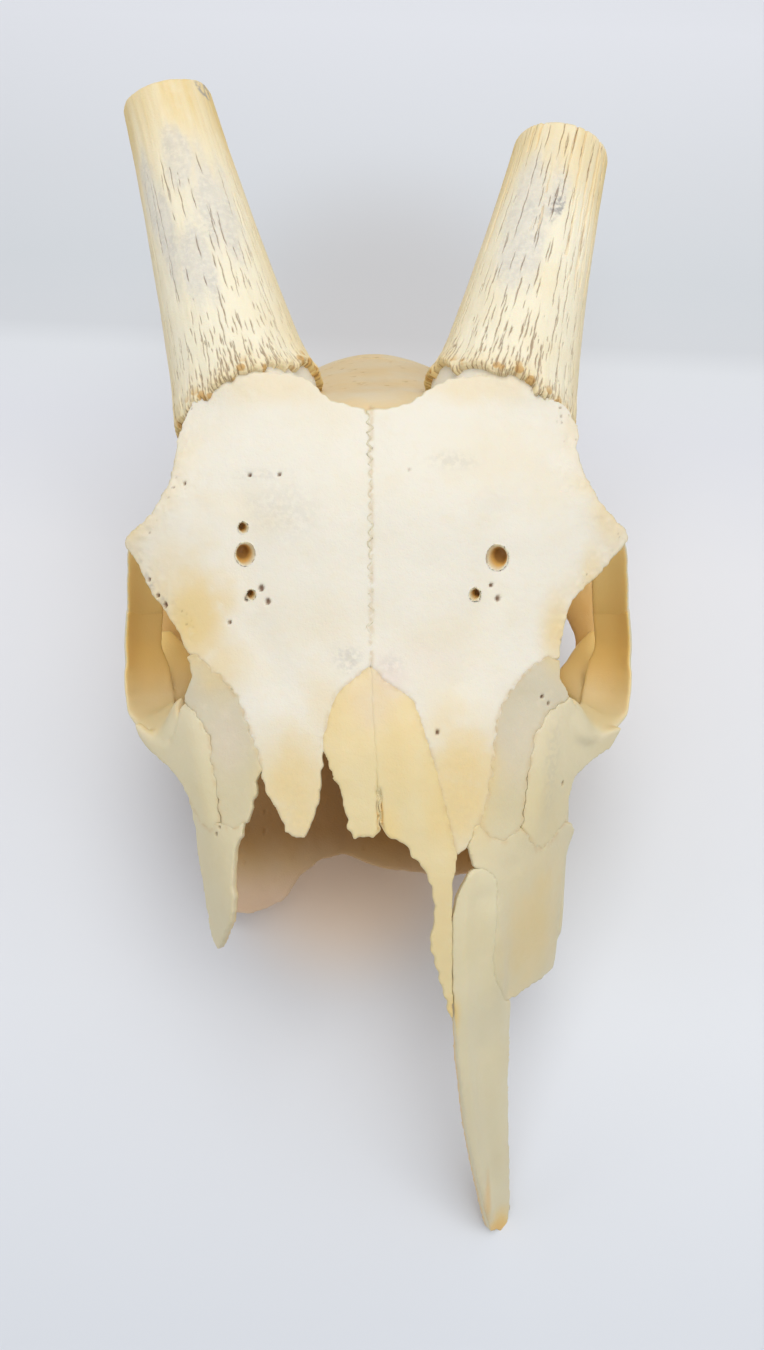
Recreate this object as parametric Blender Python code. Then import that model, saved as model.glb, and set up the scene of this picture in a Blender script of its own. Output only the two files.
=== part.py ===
"""An oryx skull without its lower jaw, the horn cores sawn short and the muzzle broken.

The bones are laid out in the face frame, in millimetres: x to the skull's left, s along the
face towards the horns, n out of the face, and zero near the nasion. At the end the skull is
pitched so that it rests on the tip of its premaxilla and on its two paroccipital processes.
"""

import math

import bmesh
import bpy
import numpy as np
from mathutils import Matrix, Vector, geometry

MM = 0.001
GAP = 0.3          # between two bones at a suture
CLEARANCE = 0.45   # by which a bone grows before it is cut from its neighbour
GRID = 9.0         # spacing of the points inside a plate of bone
EDGE = 4.5         # spacing of the points along a plate's edge

# Half of a cross-section of the face: station s, height at the midline, slope of the roof in
# degrees, where it turns down and over what width, slope of the wall, where that turns under.
FACE_STATIONS = {
    "premaxilla tip": (-210, -64, 10, 22, 20, 40, 66, 50),
    "premaxilla": (-160, -34, 12, 22, 20, 44, 70, 60),
    "snout": (-118, -10, 14, 20, 20, 52, 80, 80),
    "facial tuber": (-95, -3, 10, 24, 22, 58, 78, 88),
    "cheek": (-60, 1, 8, 30, 24, 54, 70, 86),
    "lacrimal": (-25, 1, 8, 36, 30, 46, 92, 80),
    "nasion": (0, 1, 8, 42, 30, 34, 110, 60),
    "orbit": (25, 3, 8, 45, 30, 28, 120, 40),
    "postorbital": (50, 5, 8, 50, 30, 24, 120, 40),
    "pedicle": (80, 3, 8, 45, 30, 24, 120, 40),
    "rear": (110, -4, 8, 45, 30, 24, 120, 40),
}
TURN_UNDER = 12.0

# Each suture or margin once, as (s, v) with v the distance from the midline over the skin of
# the face. Positive v is the skull's left.
LINES = {
    "interfrontal": [(-1, 0), (20, 0), (45, 0), (76, 0)],
    "fringe left": [(76, 0), (77, 8.5), (79, 13), (83, 18), (87, 25)],
    "pedicle left": [(87, 25), (88, 42), (84, 58), (72, 64.5)],
    "supraorbital left": [(72, 64.5), (64, 63), (56, 65.5), (49, 70.5), (44, 76), (40, 81.5)],
    "orbit left": [(40, 81.5), (34, 76.5), (28, 71.5), (24, 66), (19, 61.5), (13, 59.5),
                   (6, 58), (1, 58)],
    "frontolacrimal left": [(1, 58), (2, 53.5), (0, 50), (-5, 44.5), (-11, 40),
                            (-17, 37.5), (-32, 36), (-41, 34.5), (-47, 32)],
    "lobe left": [(-47, 32), (-53, 29), (-56, 26.5), (-58, 25)],
    "nasofrontal left": [(-58, 25), (-54, 24.5), (-44, 22), (-33, 19.5), (-22, 16),
                         (-11, 12.5), (-9, 8.5), (-6, 4), (-1, 0)],
    "lacrimal rim left": [(1, 58), (-4, 57.5), (-7, 60), (-10, 62.5)],
    "jugolacrimal left": [(-10, 62.5), (-12.5, 57), (-15, 53), (-22, 49), (-35, 47),
                          (-49, 45.5)],
    "maxillolacrimal left": [(-49, 45.5), (-53, 40), (-52, 35), (-47, 32)],
    "jugomaxillary left": [(-49, 45.5), (-56, 53), (-54, 62), (-48, 70)],
    "jugal edge left": [(-48, 70), (-42, 69), (-34, 69.5), (-30, 76), (-26, 84), (-24, 89),
                        (-18, 93)],
    "jugal rim left": [(-18, 93), (-19.5, 88), (-21, 82), (-22.5, 75), (-21, 70.5),
                       (-16.5, 67), (-12, 65), (-10, 62.5)],
    "maxilla edge left": [(-48, 70), (-50, 78), (-57, 84), (-70, 88), (-83, 89), (-93, 86),
                          (-98, 80)],
    "maxilla front left": [(-98, 80), (-99, 72), (-101, 61), (-103, 52.5)],
    "premaxillary left": [(-103, 52.5), (-102, 46.5), (-94, 39), (-88, 37.5), (-76, 38),
                          (-64, 38), (-61, 35), (-60, 30.5)],
    "maxilla corner left": [(-60, 30.5), (-56.5, 29), (-53, 29)],
    "premaxilla medial": [(-60, 30.5), (-64, 27), (-69, 25.2), (-75, 24.5), (-87, 24.5),
                          (-99, 25), (-108, 26), (-118, 26.5), (-128, 28), (-143, 30),
                          (-159, 34), (-174, 38.5), (-183, 41.5), (-188, 43)],
    "premaxilla tip": [(-188, 43), (-186, 46), (-191, 49), (-187, 51.5)],
    "premaxilla lateral": [(-187, 51.5), (-177, 52.5), (-164, 51), (-152, 49.5),
                           (-130, 50.5), (-117, 52.5), (-106, 51.5), (-103, 52.5)],
    "internasal": [(-1, 0), (-15, 0.5), (-30, 1.5), (-49, 3)],
    "nasal break left": [(-49, 3), (-52, 6), (-53, 9.5), (-57, 12), (-61, 15.5),
                         (-65, 17.5), (-71, 18.5), (-77, 18.5), (-81, 17), (-85, 18),
                         (-91, 19.4), (-97, 21.3), (-103, 22.8), (-107, 24.6)],
    "nasal strip": [(-107, 24.6), (-99, 24.3), (-87, 23.9), (-75, 23.8), (-64, 24), (-58, 25)],
    "fringe right": [(76, 0), (78, -9.5), (80, -14), (84, -17), (88, -23)],
    "pedicle right": [(88, -23), (89, -40), (85, -54), (69, -60)],
    "supraorbital right": [(69, -60), (63, -59.5), (55, -60.5), (48, -64.5), (43, -69.5),
                           (38, -78)],
    "orbit right": [(38, -78), (32, -74), (23, -69), (16, -63.5), (9, -58.5), (3, -56)],
    "frontolacrimal right": [(3, -56), (2, -52.5), (0, -50), (-5, -44.5), (-11, -40),
                             (-17, -37), (-25, -34), (-30, -32.5)],
    "lobe right": [(-30, -32.5), (-38, -30.5), (-45, -26.5), (-51, -23), (-52, -21.5),
                   (-50, -19.5), (-45, -17), (-38, -15.5), (-31, -15), (-25, -14.5)],
    "nasofrontal right": [(-25, -14.5), (-16, -12.5), (-10, -10.5), (-6, -6), (-1, 0)],
    "nasal break right": [(-25, -14.5), (-31, -11), (-36, -9.5), (-39, -6), (-42, -5.5),
                          (-48, -4), (-50, -1.5), (-49, 3)],
    "lacrimal rim right": [(3, -56), (-4, -54), (-8.5, -56.5), (-11.5, -58)],
    "jugolacrimal right": [(-11.5, -58), (-14, -53.5), (-22, -49), (-35, -47), (-47, -45.5)],
    "maxillolacrimal right": [(-47, -45.5), (-50, -42), (-47, -37)],
    "lacrimal break right": [(-47, -37), (-38, -34.5), (-30, -32.5)],
    "jugomaxillary right": [(-47, -45.5), (-50, -50), (-47, -55), (-41, -59.5)],
    "jugal edge right": [(-41, -59.5), (-36, -63), (-30, -71), (-26, -79.5), (-21.5, -84),
                         (-16, -85)],
    "jugal rim right": [(-16, -85), (-18.5, -81.5), (-22, -76.5), (-24.5, -70), (-23, -65.5),
                        (-18.5, -62), (-14, -60), (-11.5, -58)],
    "spike outer": [(-41, -59.5), (-50, -59), (-58, -60.5), (-66, -60), (-75, -60.5),
                    (-83, -60.5), (-88, -57)],
    "spike inner": [(-88, -57), (-78, -45), (-72, -42), (-64, -42), (-55, -40.5), (-47, -37)],
}

# The plates of the face: the lines round each one, a minus sign where a line runs backwards,
# and the thickness at the front and at the rear of the face.
PLATES = {
    "frontal_left": (["interfrontal", "fringe left", "pedicle left", "supraorbital left",
                      "orbit left", "frontolacrimal left", "lobe left", "nasofrontal left"],
                     2.8, 7.5),
    "frontal_right": (["interfrontal", "fringe right", "pedicle right", "supraorbital right",
                       "orbit right", "frontolacrimal right", "lobe right",
                       "nasofrontal right"], 2.8, 7.5),
    "lacrimal_left": (["-frontolacrimal left", "lacrimal rim left", "jugolacrimal left",
                       "maxillolacrimal left"], 2.8, 3.5),
    "lacrimal_right": (["-frontolacrimal right", "lacrimal rim right", "jugolacrimal right",
                        "maxillolacrimal right", "lacrimal break right"], 2.8, 3.5),
    "nasal_left": (["-nasofrontal left", "-nasal strip", "-nasal break left", "-internasal"],
                   2.2, 3.0),
    "nasal_right": (["-nasofrontal right", "nasal break right", "-internasal"], 2.2, 3.0),
    "jugal_left": (["jugolacrimal left", "jugomaxillary left", "jugal edge left",
                    "jugal rim left"], 3.0, 3.6),
    "jugal_right": (["jugolacrimal right", "jugomaxillary right", "jugal edge right",
                     "jugal rim right"], 3.0, 3.6),
    "maxilla_left": (["-maxillolacrimal left", "jugomaxillary left", "maxilla edge left",
                      "maxilla front left", "premaxillary left", "maxilla corner left",
                      "-lobe left"], 2.8, 2.8),
    "maxilla_right": (["-jugomaxillary right", "maxillolacrimal right", "-spike inner",
                       "-spike outer"], 2.6, 2.6),
    "premaxilla_left": (["premaxilla medial", "premaxilla tip", "premaxilla lateral",
                         "premaxillary left"], 3.6, 3.2),
}

# Holes in the frontals, as s, v and radius: the supraorbital foramina.
FORAMINA = ((32, -38, 3.0), (40, -38.5, 1.5), (20, -36, 1.2), (31, 38, 3.2), (20, 31, 1.5))

# Horn cores: foot and sawn end of the axis in the face frame, radius at the foot and at the end.
HORNS = {
    "left": ((42.7, 89.7, -22.0), (63.2, 174.1, -20.5), 23.6, 15.7),
    "right": ((-41.3, 89.7, -22.0), (-69.0, 191.5, -20.2), 23.2, 14.9),
}
CORE_TAPER = 1.3       # above 1 the core thins faster near its foot than near its end
SAW_SLANT = {"left": 0.0, "right": 3.0}    # how far the saw cut leans towards the foot on top
PEDICLE_CAP = 27.0     # how far forward of the foot the pedicle tapers into the forehead
BURR_FLARE = 1.6       # how far the core stands proud of its pedicle at the burr
CORE_CANAL = 8.0       # radius of the spongy canal at the sawn end
CANAL_DEPTH = 50.0

# Side profile of the braincase and the wall between the orbits: top and foot of each section
# as (s, n), its half-width, and how much wider its top is than its foot.
CASE_SECTIONS = (
    ((-14, -9), (-12, -46), 19, 0.45),
    ((8, -8), (6, -74), 25, 0.45),
    ((32, -7), (26, -92), 28, 0.40),
    ((56, -6), (44, -103), 35, 0.22),
    ((79, -5), (60, -114), 44, 0.02),
    ((99, -33), (76, -126), 47, -0.04),
    ((114, -56), (90, -136), 46, -0.06),
    ((126, -75), (99, -141), 41, -0.10),
    ((131, -84), (103, -141), 33, -0.16),
    ((129, -92), (107, -135), 20, -0.10),
)
CAVITY = ((83, -76), 38.0, 40.0, 27.0)    # centre, radii across, along and up; see hollow()
CASE_TILT = math.radians(-50)

# The back of the nose, open to the front: s, n and radii across and up.
NASAL_FOSSA = ((-30, -28, 15, 16), (5, -38, 17, 23), (20, -43, 15, 22), (28, -46, 8, 14))

# Where the braincase is parted, as polygons in (s, n).
SPHENOID_CUT = ((60.0, 30.0), (46.0, -170.0))
OCCIPITAL_CUT = ((136.0, -53.0), (82.0, -164.0))
SQUAMOUS_CUT = ((40.0, 4.8), (125.0, -121.9))
BASE_HALF_WIDTH = 13.0     # of the strip of sphenoid between the temporals

# Bones that are cut back at the end to clear the neighbours they touch.
MAKE_ROOM = {
    "temporal_left": ("jugal_left", "occipital"),
    "temporal_right": ("jugal_right", "occipital"),
    "palatine": ("maxilla_left", "sphenoid"),
}

# Colour and roughness, by how a bone's name starts.
LOOKS = {
    "frontal": ((0.86, 0.79, 0.64), 0.5),
    "horn_core": ((0.84, 0.76, 0.58), 0.7),
    "nasal": ((0.80, 0.67, 0.42), 0.5),
    "lacrimal": ((0.82, 0.73, 0.60), 0.5),
    "jugal": ((0.83, 0.74, 0.56), 0.5),
    "maxilla": ((0.83, 0.76, 0.60), 0.5),
    "premaxilla": ((0.79, 0.73, 0.53), 0.5),
    "": ((0.82, 0.73, 0.56), 0.55),
}

TIP_OF_PREMAXILLA = (-187.0, 48.0)          # (s, v)
PAROCCIPITAL_TIP = (38.0, 91.0, -165.0)
FOOT_DEPTH = 0.9                            # how much of each tip is worn to a flat


def rise(t):
    """A smooth step from 0 to 1."""
    t = np.clip(t, 0, 1)
    return t * t * (3 - 2 * t)


def monotone(xs, ys, x):
    """A smooth curve through the points (xs, ys) that never overshoots them, at x."""
    h = np.diff(xs)
    d = np.diff(ys) / h
    m = np.zeros(len(xs))
    for i in range(1, len(xs) - 1):
        if d[i - 1] * d[i] > 0:
            w1, w2 = 2 * h[i] + h[i - 1], h[i] + 2 * h[i - 1]
            m[i] = (w1 + w2) / (w1 / d[i - 1] + w2 / d[i])
    m[0], m[-1] = d[0], d[-1]
    i = np.clip(np.searchsorted(xs, x) - 1, 0, len(h) - 1)
    t = (x - xs[i]) / h[i]
    a, b = 2 * t**3 - 3 * t**2, t**3 - t**2
    return ys[i] * (a + 1) + m[i] * h[i] * (b - t**2 + t) - ys[i + 1] * a + m[i + 1] * h[i] * b


def face_table():
    """x and n of the face on a grid of one millimetre in s and in v."""
    stations = np.array(sorted(FACE_STATIONS.values()), float)
    s = np.arange(-225.0, 116.0)
    v = np.arange(0.0, 131.0)[None, :]
    mid, roof, turn, width, wall, under, tuck = (
        monotone(stations[:, 0], stations[:, i], s)[:, None] for i in range(1, 8))
    slope = np.radians(roof * np.clip(v / turn, 0, 1) + (wall - roof) * rise((v - turn) / width)
                       + (tuck - wall) * rise((v - under) / TURN_UNDER))
    start = np.zeros((len(s), 1))
    across, down = np.cos(slope), np.sin(slope)
    x = np.hstack([start, np.cumsum((across[:, 1:] + across[:, :-1]) / 2, axis=1)])
    drop = np.hstack([start, np.cumsum((down[:, 1:] + down[:, :-1]) / 2, axis=1)])
    return s, x, mid - drop


TABLE_S, TABLE_X, TABLE_N = face_table()


def skin(s, v):
    """The point of the face at s and v, before the horns rise from it."""
    s = np.clip(np.asarray(s, float), TABLE_S[0], TABLE_S[-1] - 1e-6)
    v = np.asarray(v, float)
    a = np.clip(np.abs(v), 0, 129.999)
    i, j = (s - TABLE_S[0]).astype(int), a.astype(int)
    p, q = s - TABLE_S[0] - i, a - j

    def read(grid):
        near = grid[i, j] * (1 - q) + grid[i, j + 1] * q
        far = grid[i + 1, j] * (1 - q) + grid[i + 1, j + 1] * q
        return near * (1 - p) + far * p

    return np.stack([np.sign(v) * read(TABLE_X), s, read(TABLE_N)], -1)


def horn_axis(side):
    """Foot, direction, length, and the unit vectors up from the face and outward."""
    foot, end = (np.array(p) for p in HORNS[side][:2])
    length = np.linalg.norm(end - foot)
    along = (end - foot) / length
    up = np.array([0, 0, 1.0]) - along[2] * along
    up /= np.linalg.norm(up)
    out = np.cross(along, up)
    return foot, along, length, up, out * np.sign(out[0] * foot[0])


def core_radius(side, t):
    """Radius of the horn core t from its foot, tapering forward into the forehead."""
    _, _, length, _, _ = horn_axis(side)
    foot, end = HORNS[side][2:]
    k = np.clip(t / length, 0, 1)
    core = end + (foot - end) * (1 - k) ** CORE_TAPER
    cap = np.sqrt(np.clip(1 - (np.minimum(t, 0) / PEDICLE_CAP) ** 2, 0, 1))
    return core * cap


def with_pedicles(points):
    """Raises the points of the forehead to blend with the pedicle of each horn."""
    points = points.copy()
    for side in HORNS:
        foot, along, _, _, _ = horn_axis(side)
        near = (points[:, 1] > 55) & (np.sign(foot[0]) * points[:, 0] > 5)
        p = points[near]
        top = p[:, 2].copy()
        for _ in range(6):
            rel = np.stack([p[:, 0], p[:, 1], top], -1) - foot
            t = rel @ along
            radius = core_radius(side, t) + 0.5
            side_ways = np.linalg.norm(rel[:, :2] - np.outer(t, along[:2]), axis=1)
            height = np.sqrt(np.clip(radius**2 - side_ways**2, 0, None))
            top = np.where(height > 0, foot[2] + t * along[2] + height, -60)
        blend = 2.5
        p[:, 2] = blend * np.logaddexp(p[:, 2] / blend, top / blend)
        points[near] = p
    return points


def face_point(s, v):
    points = skin(np.atleast_1d(s), np.atleast_1d(v))
    return with_pedicles(points)


def face_normal(s, v):
    """Unit normal of the face, pointing out of it."""
    s, v = np.atleast_1d(s).astype(float), np.atleast_1d(v).astype(float)
    ds = skin(s + 1, v) - skin(s - 1, v)
    dv = skin(s, v + 1) - skin(s, v - 1)
    normal = np.cross(dv, ds)
    return normal / np.linalg.norm(normal, axis=1)[:, None]


def wobble(s, v):
    """A small wandering that every line of the face follows, so that sutures stay shared."""
    return (0.45 * np.sin(0.9 * s + 1.3 * v) + 0.3 * np.sin(1.9 * s - 1.1 * v + 2),
            0.45 * np.sin(1.2 * s - 0.8 * v + 1) + 0.3 * np.sin(0.7 * s + 2.1 * v))


def outline(names):
    """The closed outline of a plate in (s, v), set in by half a suture."""
    ring = []
    for name in names:
        line = LINES[name.lstrip("-")]
        line = line[::-1] if name[0] == "-" else line
        if ring and np.hypot(*np.subtract(line[0], ring[-1])) > np.hypot(
                *np.subtract(line[-1], ring[-1])):
            line = line[::-1]
        ring += line if not ring else line[1:]
    ring = np.array(ring[:-1], float)
    points = []
    for a, b in zip(ring, np.roll(ring, -1, axis=0)):
        pieces = max(1, round(np.hypot(*(b - a)) / EDGE))
        points += [a + (b - a) * k / pieces for k in range(pieces)]
    points = np.array(points)
    ds, dv = wobble(points[:, 0], points[:, 1])
    off_middle = np.clip(np.abs(points[:, 1]) / 3, 0, 1)
    points = points + np.stack([ds * off_middle, dv * off_middle], -1)
    area = np.sum(points[:, 0] * np.roll(points[:, 1], -1)
                  - points[:, 1] * np.roll(points[:, 0], -1))
    if area < 0:
        points = points[::-1]
    before = points - np.roll(points, 1, axis=0)
    after = np.roll(points, -1, axis=0) - points
    inward = sum(np.stack([-d[:, 1], d[:, 0]], -1) / np.hypot(*d.T)[:, None]
                 for d in (before, after))
    size = np.clip(np.sum(inward**2, axis=1), 1.0, 4)
    return points + inward * (GAP / size)[:, None]


def inside(points, ring):
    """Which points lie inside the closed ring."""
    found = np.zeros(len(points), bool)
    for a, b in zip(ring, np.roll(ring, -1, axis=0)):
        if a[1] != b[1]:
            crosses = (a[1] > points[:, 1]) != (b[1] > points[:, 1])
            at = a[0] + (points[:, 1] - a[1]) * (b[0] - a[0]) / (b[1] - a[1])
            found ^= crosses & (points[:, 0] < at)
    return found


def body(name, points, faces, helper=False):
    """An object from points in the face frame, in millimetres, its faces turned outward."""
    mesh = bpy.data.meshes.new(name)
    mesh.from_pydata((np.asarray(points, float) * MM).tolist(), [], faces)
    obj = bpy.data.objects.new(name, mesh)
    bpy.context.collection.objects.link(obj)
    made = bmesh.new()
    made.from_mesh(mesh)
    bmesh.ops.remove_doubles(made, verts=made.verts, dist=1e-7)
    bmesh.ops.recalc_face_normals(made, faces=made.faces)
    bmesh.ops.triangulate(made, faces=made.faces)
    if made.calc_volume(signed=True) < 0:
        bmesh.ops.reverse_faces(made, faces=made.faces)
    made.to_mesh(mesh)
    made.free()
    if helper:
        obj.hide_render = True
        obj.display_type = "WIRE"
    return obj


def plate(name, lines, front_thickness, rear_thickness):
    """A plate of bone that follows the face within its outline."""
    ring = outline(lines)
    low, high = ring.min(axis=0), ring.max(axis=0)
    s, v = np.meshgrid(np.arange(low[0] + GRID / 2, high[0], GRID),
                       np.arange(low[1] + GRID / 2, high[1], GRID), indexing="ij")
    filling = np.stack([s.ravel(), v.ravel()], -1)
    filling = filling[inside(filling, ring)]
    clear = np.array([np.min(np.hypot(*(ring - p).T)) > 0.55 * EDGE for p in filling], bool)
    filling = filling[clear] if len(filling) else filling.reshape(0, 2)
    flat = np.vstack([ring, filling])
    found = geometry.delaunay_2d_cdt([Vector(p) for p in flat], [],
                                     [list(range(len(ring)))], 1, 1e-4)
    flat = np.array([tuple(p) for p in found[0]])
    triangles = [list(t) for t in found[2]]
    centre = np.array([flat[t].mean(axis=0) for t in triangles])
    triangles = [t for t, kept in zip(triangles, inside(centre, ring)) if kept]
    top = face_point(flat[:, 0], flat[:, 1])
    depth = front_thickness + (rear_thickness - front_thickness) * rise((flat[:, 0] + 25) / 30)
    foot = top - face_normal(flat[:, 0], flat[:, 1]) * depth[:, None]
    count = len(flat)
    edges = {}
    for t in triangles:
        for a, b in zip(t, t[1:] + t[:1]):
            edges[(a, b)] = True
    rim = [(a, b) for a, b in edges if (b, a) not in edges]
    faces = triangles + [[count + i for i in reversed(t)] for t in triangles]
    faces += [[b, a, count + a, count + b] for a, b in rim]
    return body(name, np.vstack([top, foot]), faces)


def loft(name, rings, helper=False):
    """A closed body through rings of equal length, each end closed by a fan."""
    rings = [np.asarray(ring, float) for ring in rings]
    n = len(rings[0])
    points = np.vstack(rings + [rings[0].mean(axis=0), rings[-1].mean(axis=0)])
    faces = []
    for k in range(len(rings) - 1):
        a = k * n
        faces += [[a + i, a + (i + 1) % n, a + n + (i + 1) % n, a + n + i] for i in range(n)]
    last = (len(rings) - 1) * n
    tip = len(points) - 2
    faces += [[tip, (i + 1) % n, i] for i in range(n)]
    faces += [[tip + 1, last + i, last + (i + 1) % n] for i in range(n)]
    return body(name, points, faces, helper)


def band(name, stations, helper=False, corners=10, facing=None, hollow=0.0, square=1.0):
    """A strap of bone: each station is its centre, half its breadth and half its thickness.

    The face towards the point facing is hollowed, and square below 1 makes the strap a slab.
    """
    centres = np.array([s[0] for s in stations], float)
    heading = np.gradient(centres, axis=0)
    angles = np.arange(corners) * math.tau / corners
    wide = np.sign(np.cos(angles)) * np.abs(np.cos(angles)) ** square
    thick = np.sign(np.sin(angles)) * np.abs(np.sin(angles)) ** square
    rings = []
    for centre, (_, breadth, thickness), ahead in zip(centres, stations, heading):
        breadth = np.array(breadth, float)
        ahead = ahead / np.linalg.norm(ahead)
        breadth = breadth - 0.8 * (breadth @ ahead) * ahead
        across = np.cross(ahead, breadth)
        across /= np.linalg.norm(across)
        ring = centre + np.outer(wide, breadth) + np.outer(thick, across * thickness)
        if facing is not None:
            toward = np.array(facing) - centre
            toward /= np.linalg.norm(toward)
            ring -= np.outer(np.sin(angles) ** 2, across * (across @ toward) * hollow)
        rings.append(ring)
    return loft(name, rings, helper)


def egg(name, centre, radii, tilt=0.0, helper=True, subdivisions=2):
    """An ellipsoid with radii across, along and up, tilted by an angle in the (s, n) plane."""
    made = bmesh.new()
    bmesh.ops.create_icosphere(made, subdivisions=subdivisions, radius=1.0)
    made.verts.ensure_lookup_table()
    points = np.array([vert.co[:] for vert in made.verts]) * radii
    faces = [[vert.index for vert in face.verts] for face in made.faces]
    made.free()
    c, s = math.cos(tilt), math.sin(tilt)
    turned = np.stack([points[:, 0], c * points[:, 1] - s * points[:, 2],
                       s * points[:, 1] + c * points[:, 2]], -1)
    return body(name, turned + np.array(centre, float), faces, helper)


def prism(name, profile, x0, x1):
    """A helper that fills a polygon in (s, n) from x0 to x1."""
    n = len(profile)
    points = [(x, s, h) for x in (x0, x1) for s, h in profile]
    faces = [list(range(n)), list(range(n, 2 * n))]
    faces += [[i, (i + 1) % n, n + (i + 1) % n, n + i] for i in range(n)]
    return body(name, points, faces, helper=True)


def combine(obj, other, operation):
    """Joins, cuts or keeps what is common, with a Boolean of the helper other."""
    step = obj.modifiers.new(f"{operation.lower()} {other.name}", "BOOLEAN")
    step.operation = operation
    step.object = other
    step.solver = "EXACT"


def settle(obj):
    """Replaces a bone by its evaluated mesh, without crumbs that a cut left loose."""
    bpy.context.view_layer.update()
    graph = bpy.context.evaluated_depsgraph_get()
    made = bmesh.new()
    made.from_mesh(bpy.data.meshes.new_from_object(obj.evaluated_get(graph)))
    obj.modifiers.clear()
    bmesh.ops.remove_doubles(made, verts=made.verts, dist=1e-5)
    bmesh.ops.dissolve_degenerate(made, edges=made.edges, dist=1e-5)
    left = set(made.faces)
    islands = []
    while left:
        island, queue = [], [left.pop()]
        while queue:
            face = queue.pop()
            island.append(face)
            for edge in face.edges:
                pinched = len(edge.link_faces) != 2
                for other in () if pinched else edge.link_faces:
                    if other in left:
                        left.discard(other)
                        queue.append(other)
        islands.append(island)
    islands.sort(key=lambda island: sum(face.calc_area() for face in island))
    crumbs = [face for island in islands[:-1] for face in island]
    bmesh.ops.delete(made, geom=crumbs, context="FACES")
    loose = [edge for edge in made.edges if not edge.link_faces]
    bmesh.ops.delete(made, geom=loose, context="EDGES")
    torn = [edge for edge in made.edges if len(edge.link_faces) == 1]
    if torn:
        bmesh.ops.holes_fill(made, edges=torn, sides=0)
    bmesh.ops.triangulate(made, faces=made.faces)
    made.to_mesh(obj.data)
    made.free()


def grown(obj, by=CLEARANCE):
    """A helper a little larger than a bone, to cut room for it from a neighbour."""
    copy = obj.copy()
    copy.data = obj.data.copy()
    copy.name = f"room for {obj.name}"
    bpy.context.collection.objects.link(copy)
    copy.hide_render = True
    copy.display_type = "WIRE"
    step = copy.modifiers.new("grow", "DISPLACE")
    step.strength = by * MM
    step.mid_level = 0.0
    return copy


def burr(angle):
    """Where the burr crosses the core, from its foot, by the angle from the top outward."""
    ragged = 0.8 * np.sin(5 * angle + 1) + 0.6 * np.sin(11 * angle)
    return -4.5 + 2.7 * np.cos(angle) - 4.5 * np.sin(angle) + ragged


def core_ring(side, t, scale=1.0, corners=24, flutes=0.0):
    """A ring round the horn's axis; t may differ from point to point."""
    foot, along, _, up, out = horn_axis(side)
    angle = np.arange(corners) * math.tau / corners
    t = np.broadcast_to(t, angle.shape)
    radius = core_radius(side, t) * scale + flutes * np.cos(9 * angle + 1)
    return (foot + np.outer(t, along) + np.outer(radius * np.cos(angle), up)
            + np.outer(radius * np.sin(angle), out))


def pedicle(side):
    """The stub of the frontal that carries a horn core."""
    angle = np.arange(24) * math.tau / 24
    end = burr(angle) - 0.5
    rings = [core_ring(side, -PEDICLE_CAP * 0.97 + 0 * angle, 1.0)]
    start = np.full_like(angle, -PEDICLE_CAP * 0.8)
    for k in (0, 0.3, 0.6, 0.85, 1):
        rings.append(core_ring(side, start + (end - start) * k, 1.0))
    return loft(f"pedicle {side}", rings, helper=True)


def horn_core(side):
    """A sawn horn core, fluted, with a ragged burr at its foot and a canal at its end."""
    _, _, length, _, _ = horn_axis(side)
    angle = np.arange(24) * math.tau / 24
    start = burr(angle)
    rings = []
    for k in (0, 0.02, 0.06, 0.13, 0.25, 0.4, 0.55, 0.7, 0.85, 1):
        t = start + (length - SAW_SLANT[side] * np.cos(angle) - start) * k
        flare = 1 + BURR_FLARE / 22 * math.exp(-k / 0.06)
        rings.append(core_ring(side, t, flare, flutes=0.35 * rise(k / 0.1)))
    obj = loft(f"horn_core_{side}", rings)
    end_radius = HORNS[side][3]
    canal = loft(f"canal {side}", [
        core_ring(side, t, r / end_radius, corners=12)
        for t, r in ((length - CANAL_DEPTH, 4.0), (length - 20, CORE_CANAL - 1),
                     (length + 5, CORE_CANAL))], helper=True)
    combine(obj, canal, "DIFFERENCE")
    return obj


def mirrored(stations, scale=1.0):
    """The same strap on the skull's right, drawn in or out by scale."""
    return [((-c[0] * scale, *c[1:]), (-b[0], *b[1:]), t) for c, b, t in stations]


# Straps of bone on the skull's left, as for band().
POSTORBITAL_BAR = (
    ((72, 40.5, -9), (-4, -1, -1), 2.0),
    ((75.5, 37.5, -17), (-4.5, -1, -3), 2.4),
    ((77.5, 34, -25), (-4.5, -1.5, -5), 2.6),
    ((78.5, 30.5, -31), (-5, -1.5, -5.5), 2.8),
    ((80, 25.5, -38), (-5, -0.5, -5), 2.8),
    ((81.4, 20.8, -44.2), (-5, 0.5, -5), 2.8),
)
ORBITAL_RIM = (
    ((81.5, 20, -45), (-5, 0.5, -5), 2.8),
    ((83, 11, -49.5), (-5, 1, -5.5), 2.6),
    ((82, 3, -52), (-6.5, 1, -6), 2.6),
    ((81, -4, -51.5), (-7, 2, -5.5), 2.6),
    ((79, -10, -47), (-6.5, 3.5, -6), 2.6),
    ((75.5, -13.5, -38.5), (-4, 5.5, -6.5), 2.6),
    ((71.5, -15.5, -31), (-3, 5.5, -5), 2.6),
    ((67.5, -17, -23), (-2, 6, -3), 2.6),
    ((64, -16, -17.5), (-1, 6.5, -1.5), 2.4),
    ((60.5, -14, -14), (0, 6, -0.5), 2.0),
)
JUGAL_ARCH = (
    ((78, -10, -48), (-4, 1, -3), 2.8),
    ((76, -7, -58), (-5.5, 1, -1.5), 3.2),
    ((75, 1, -66.5), (-8, 1, -1.5), 3.6),
    ((78, 8, -72), (-7, -0.5, -1), 3.6),
    ((81, 14.5, -75.5), (-5.5, -1, -1), 3.2),
    ((83.5, 19.5, -77), (-3.5, -1, 0), 2.6),
)
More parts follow.
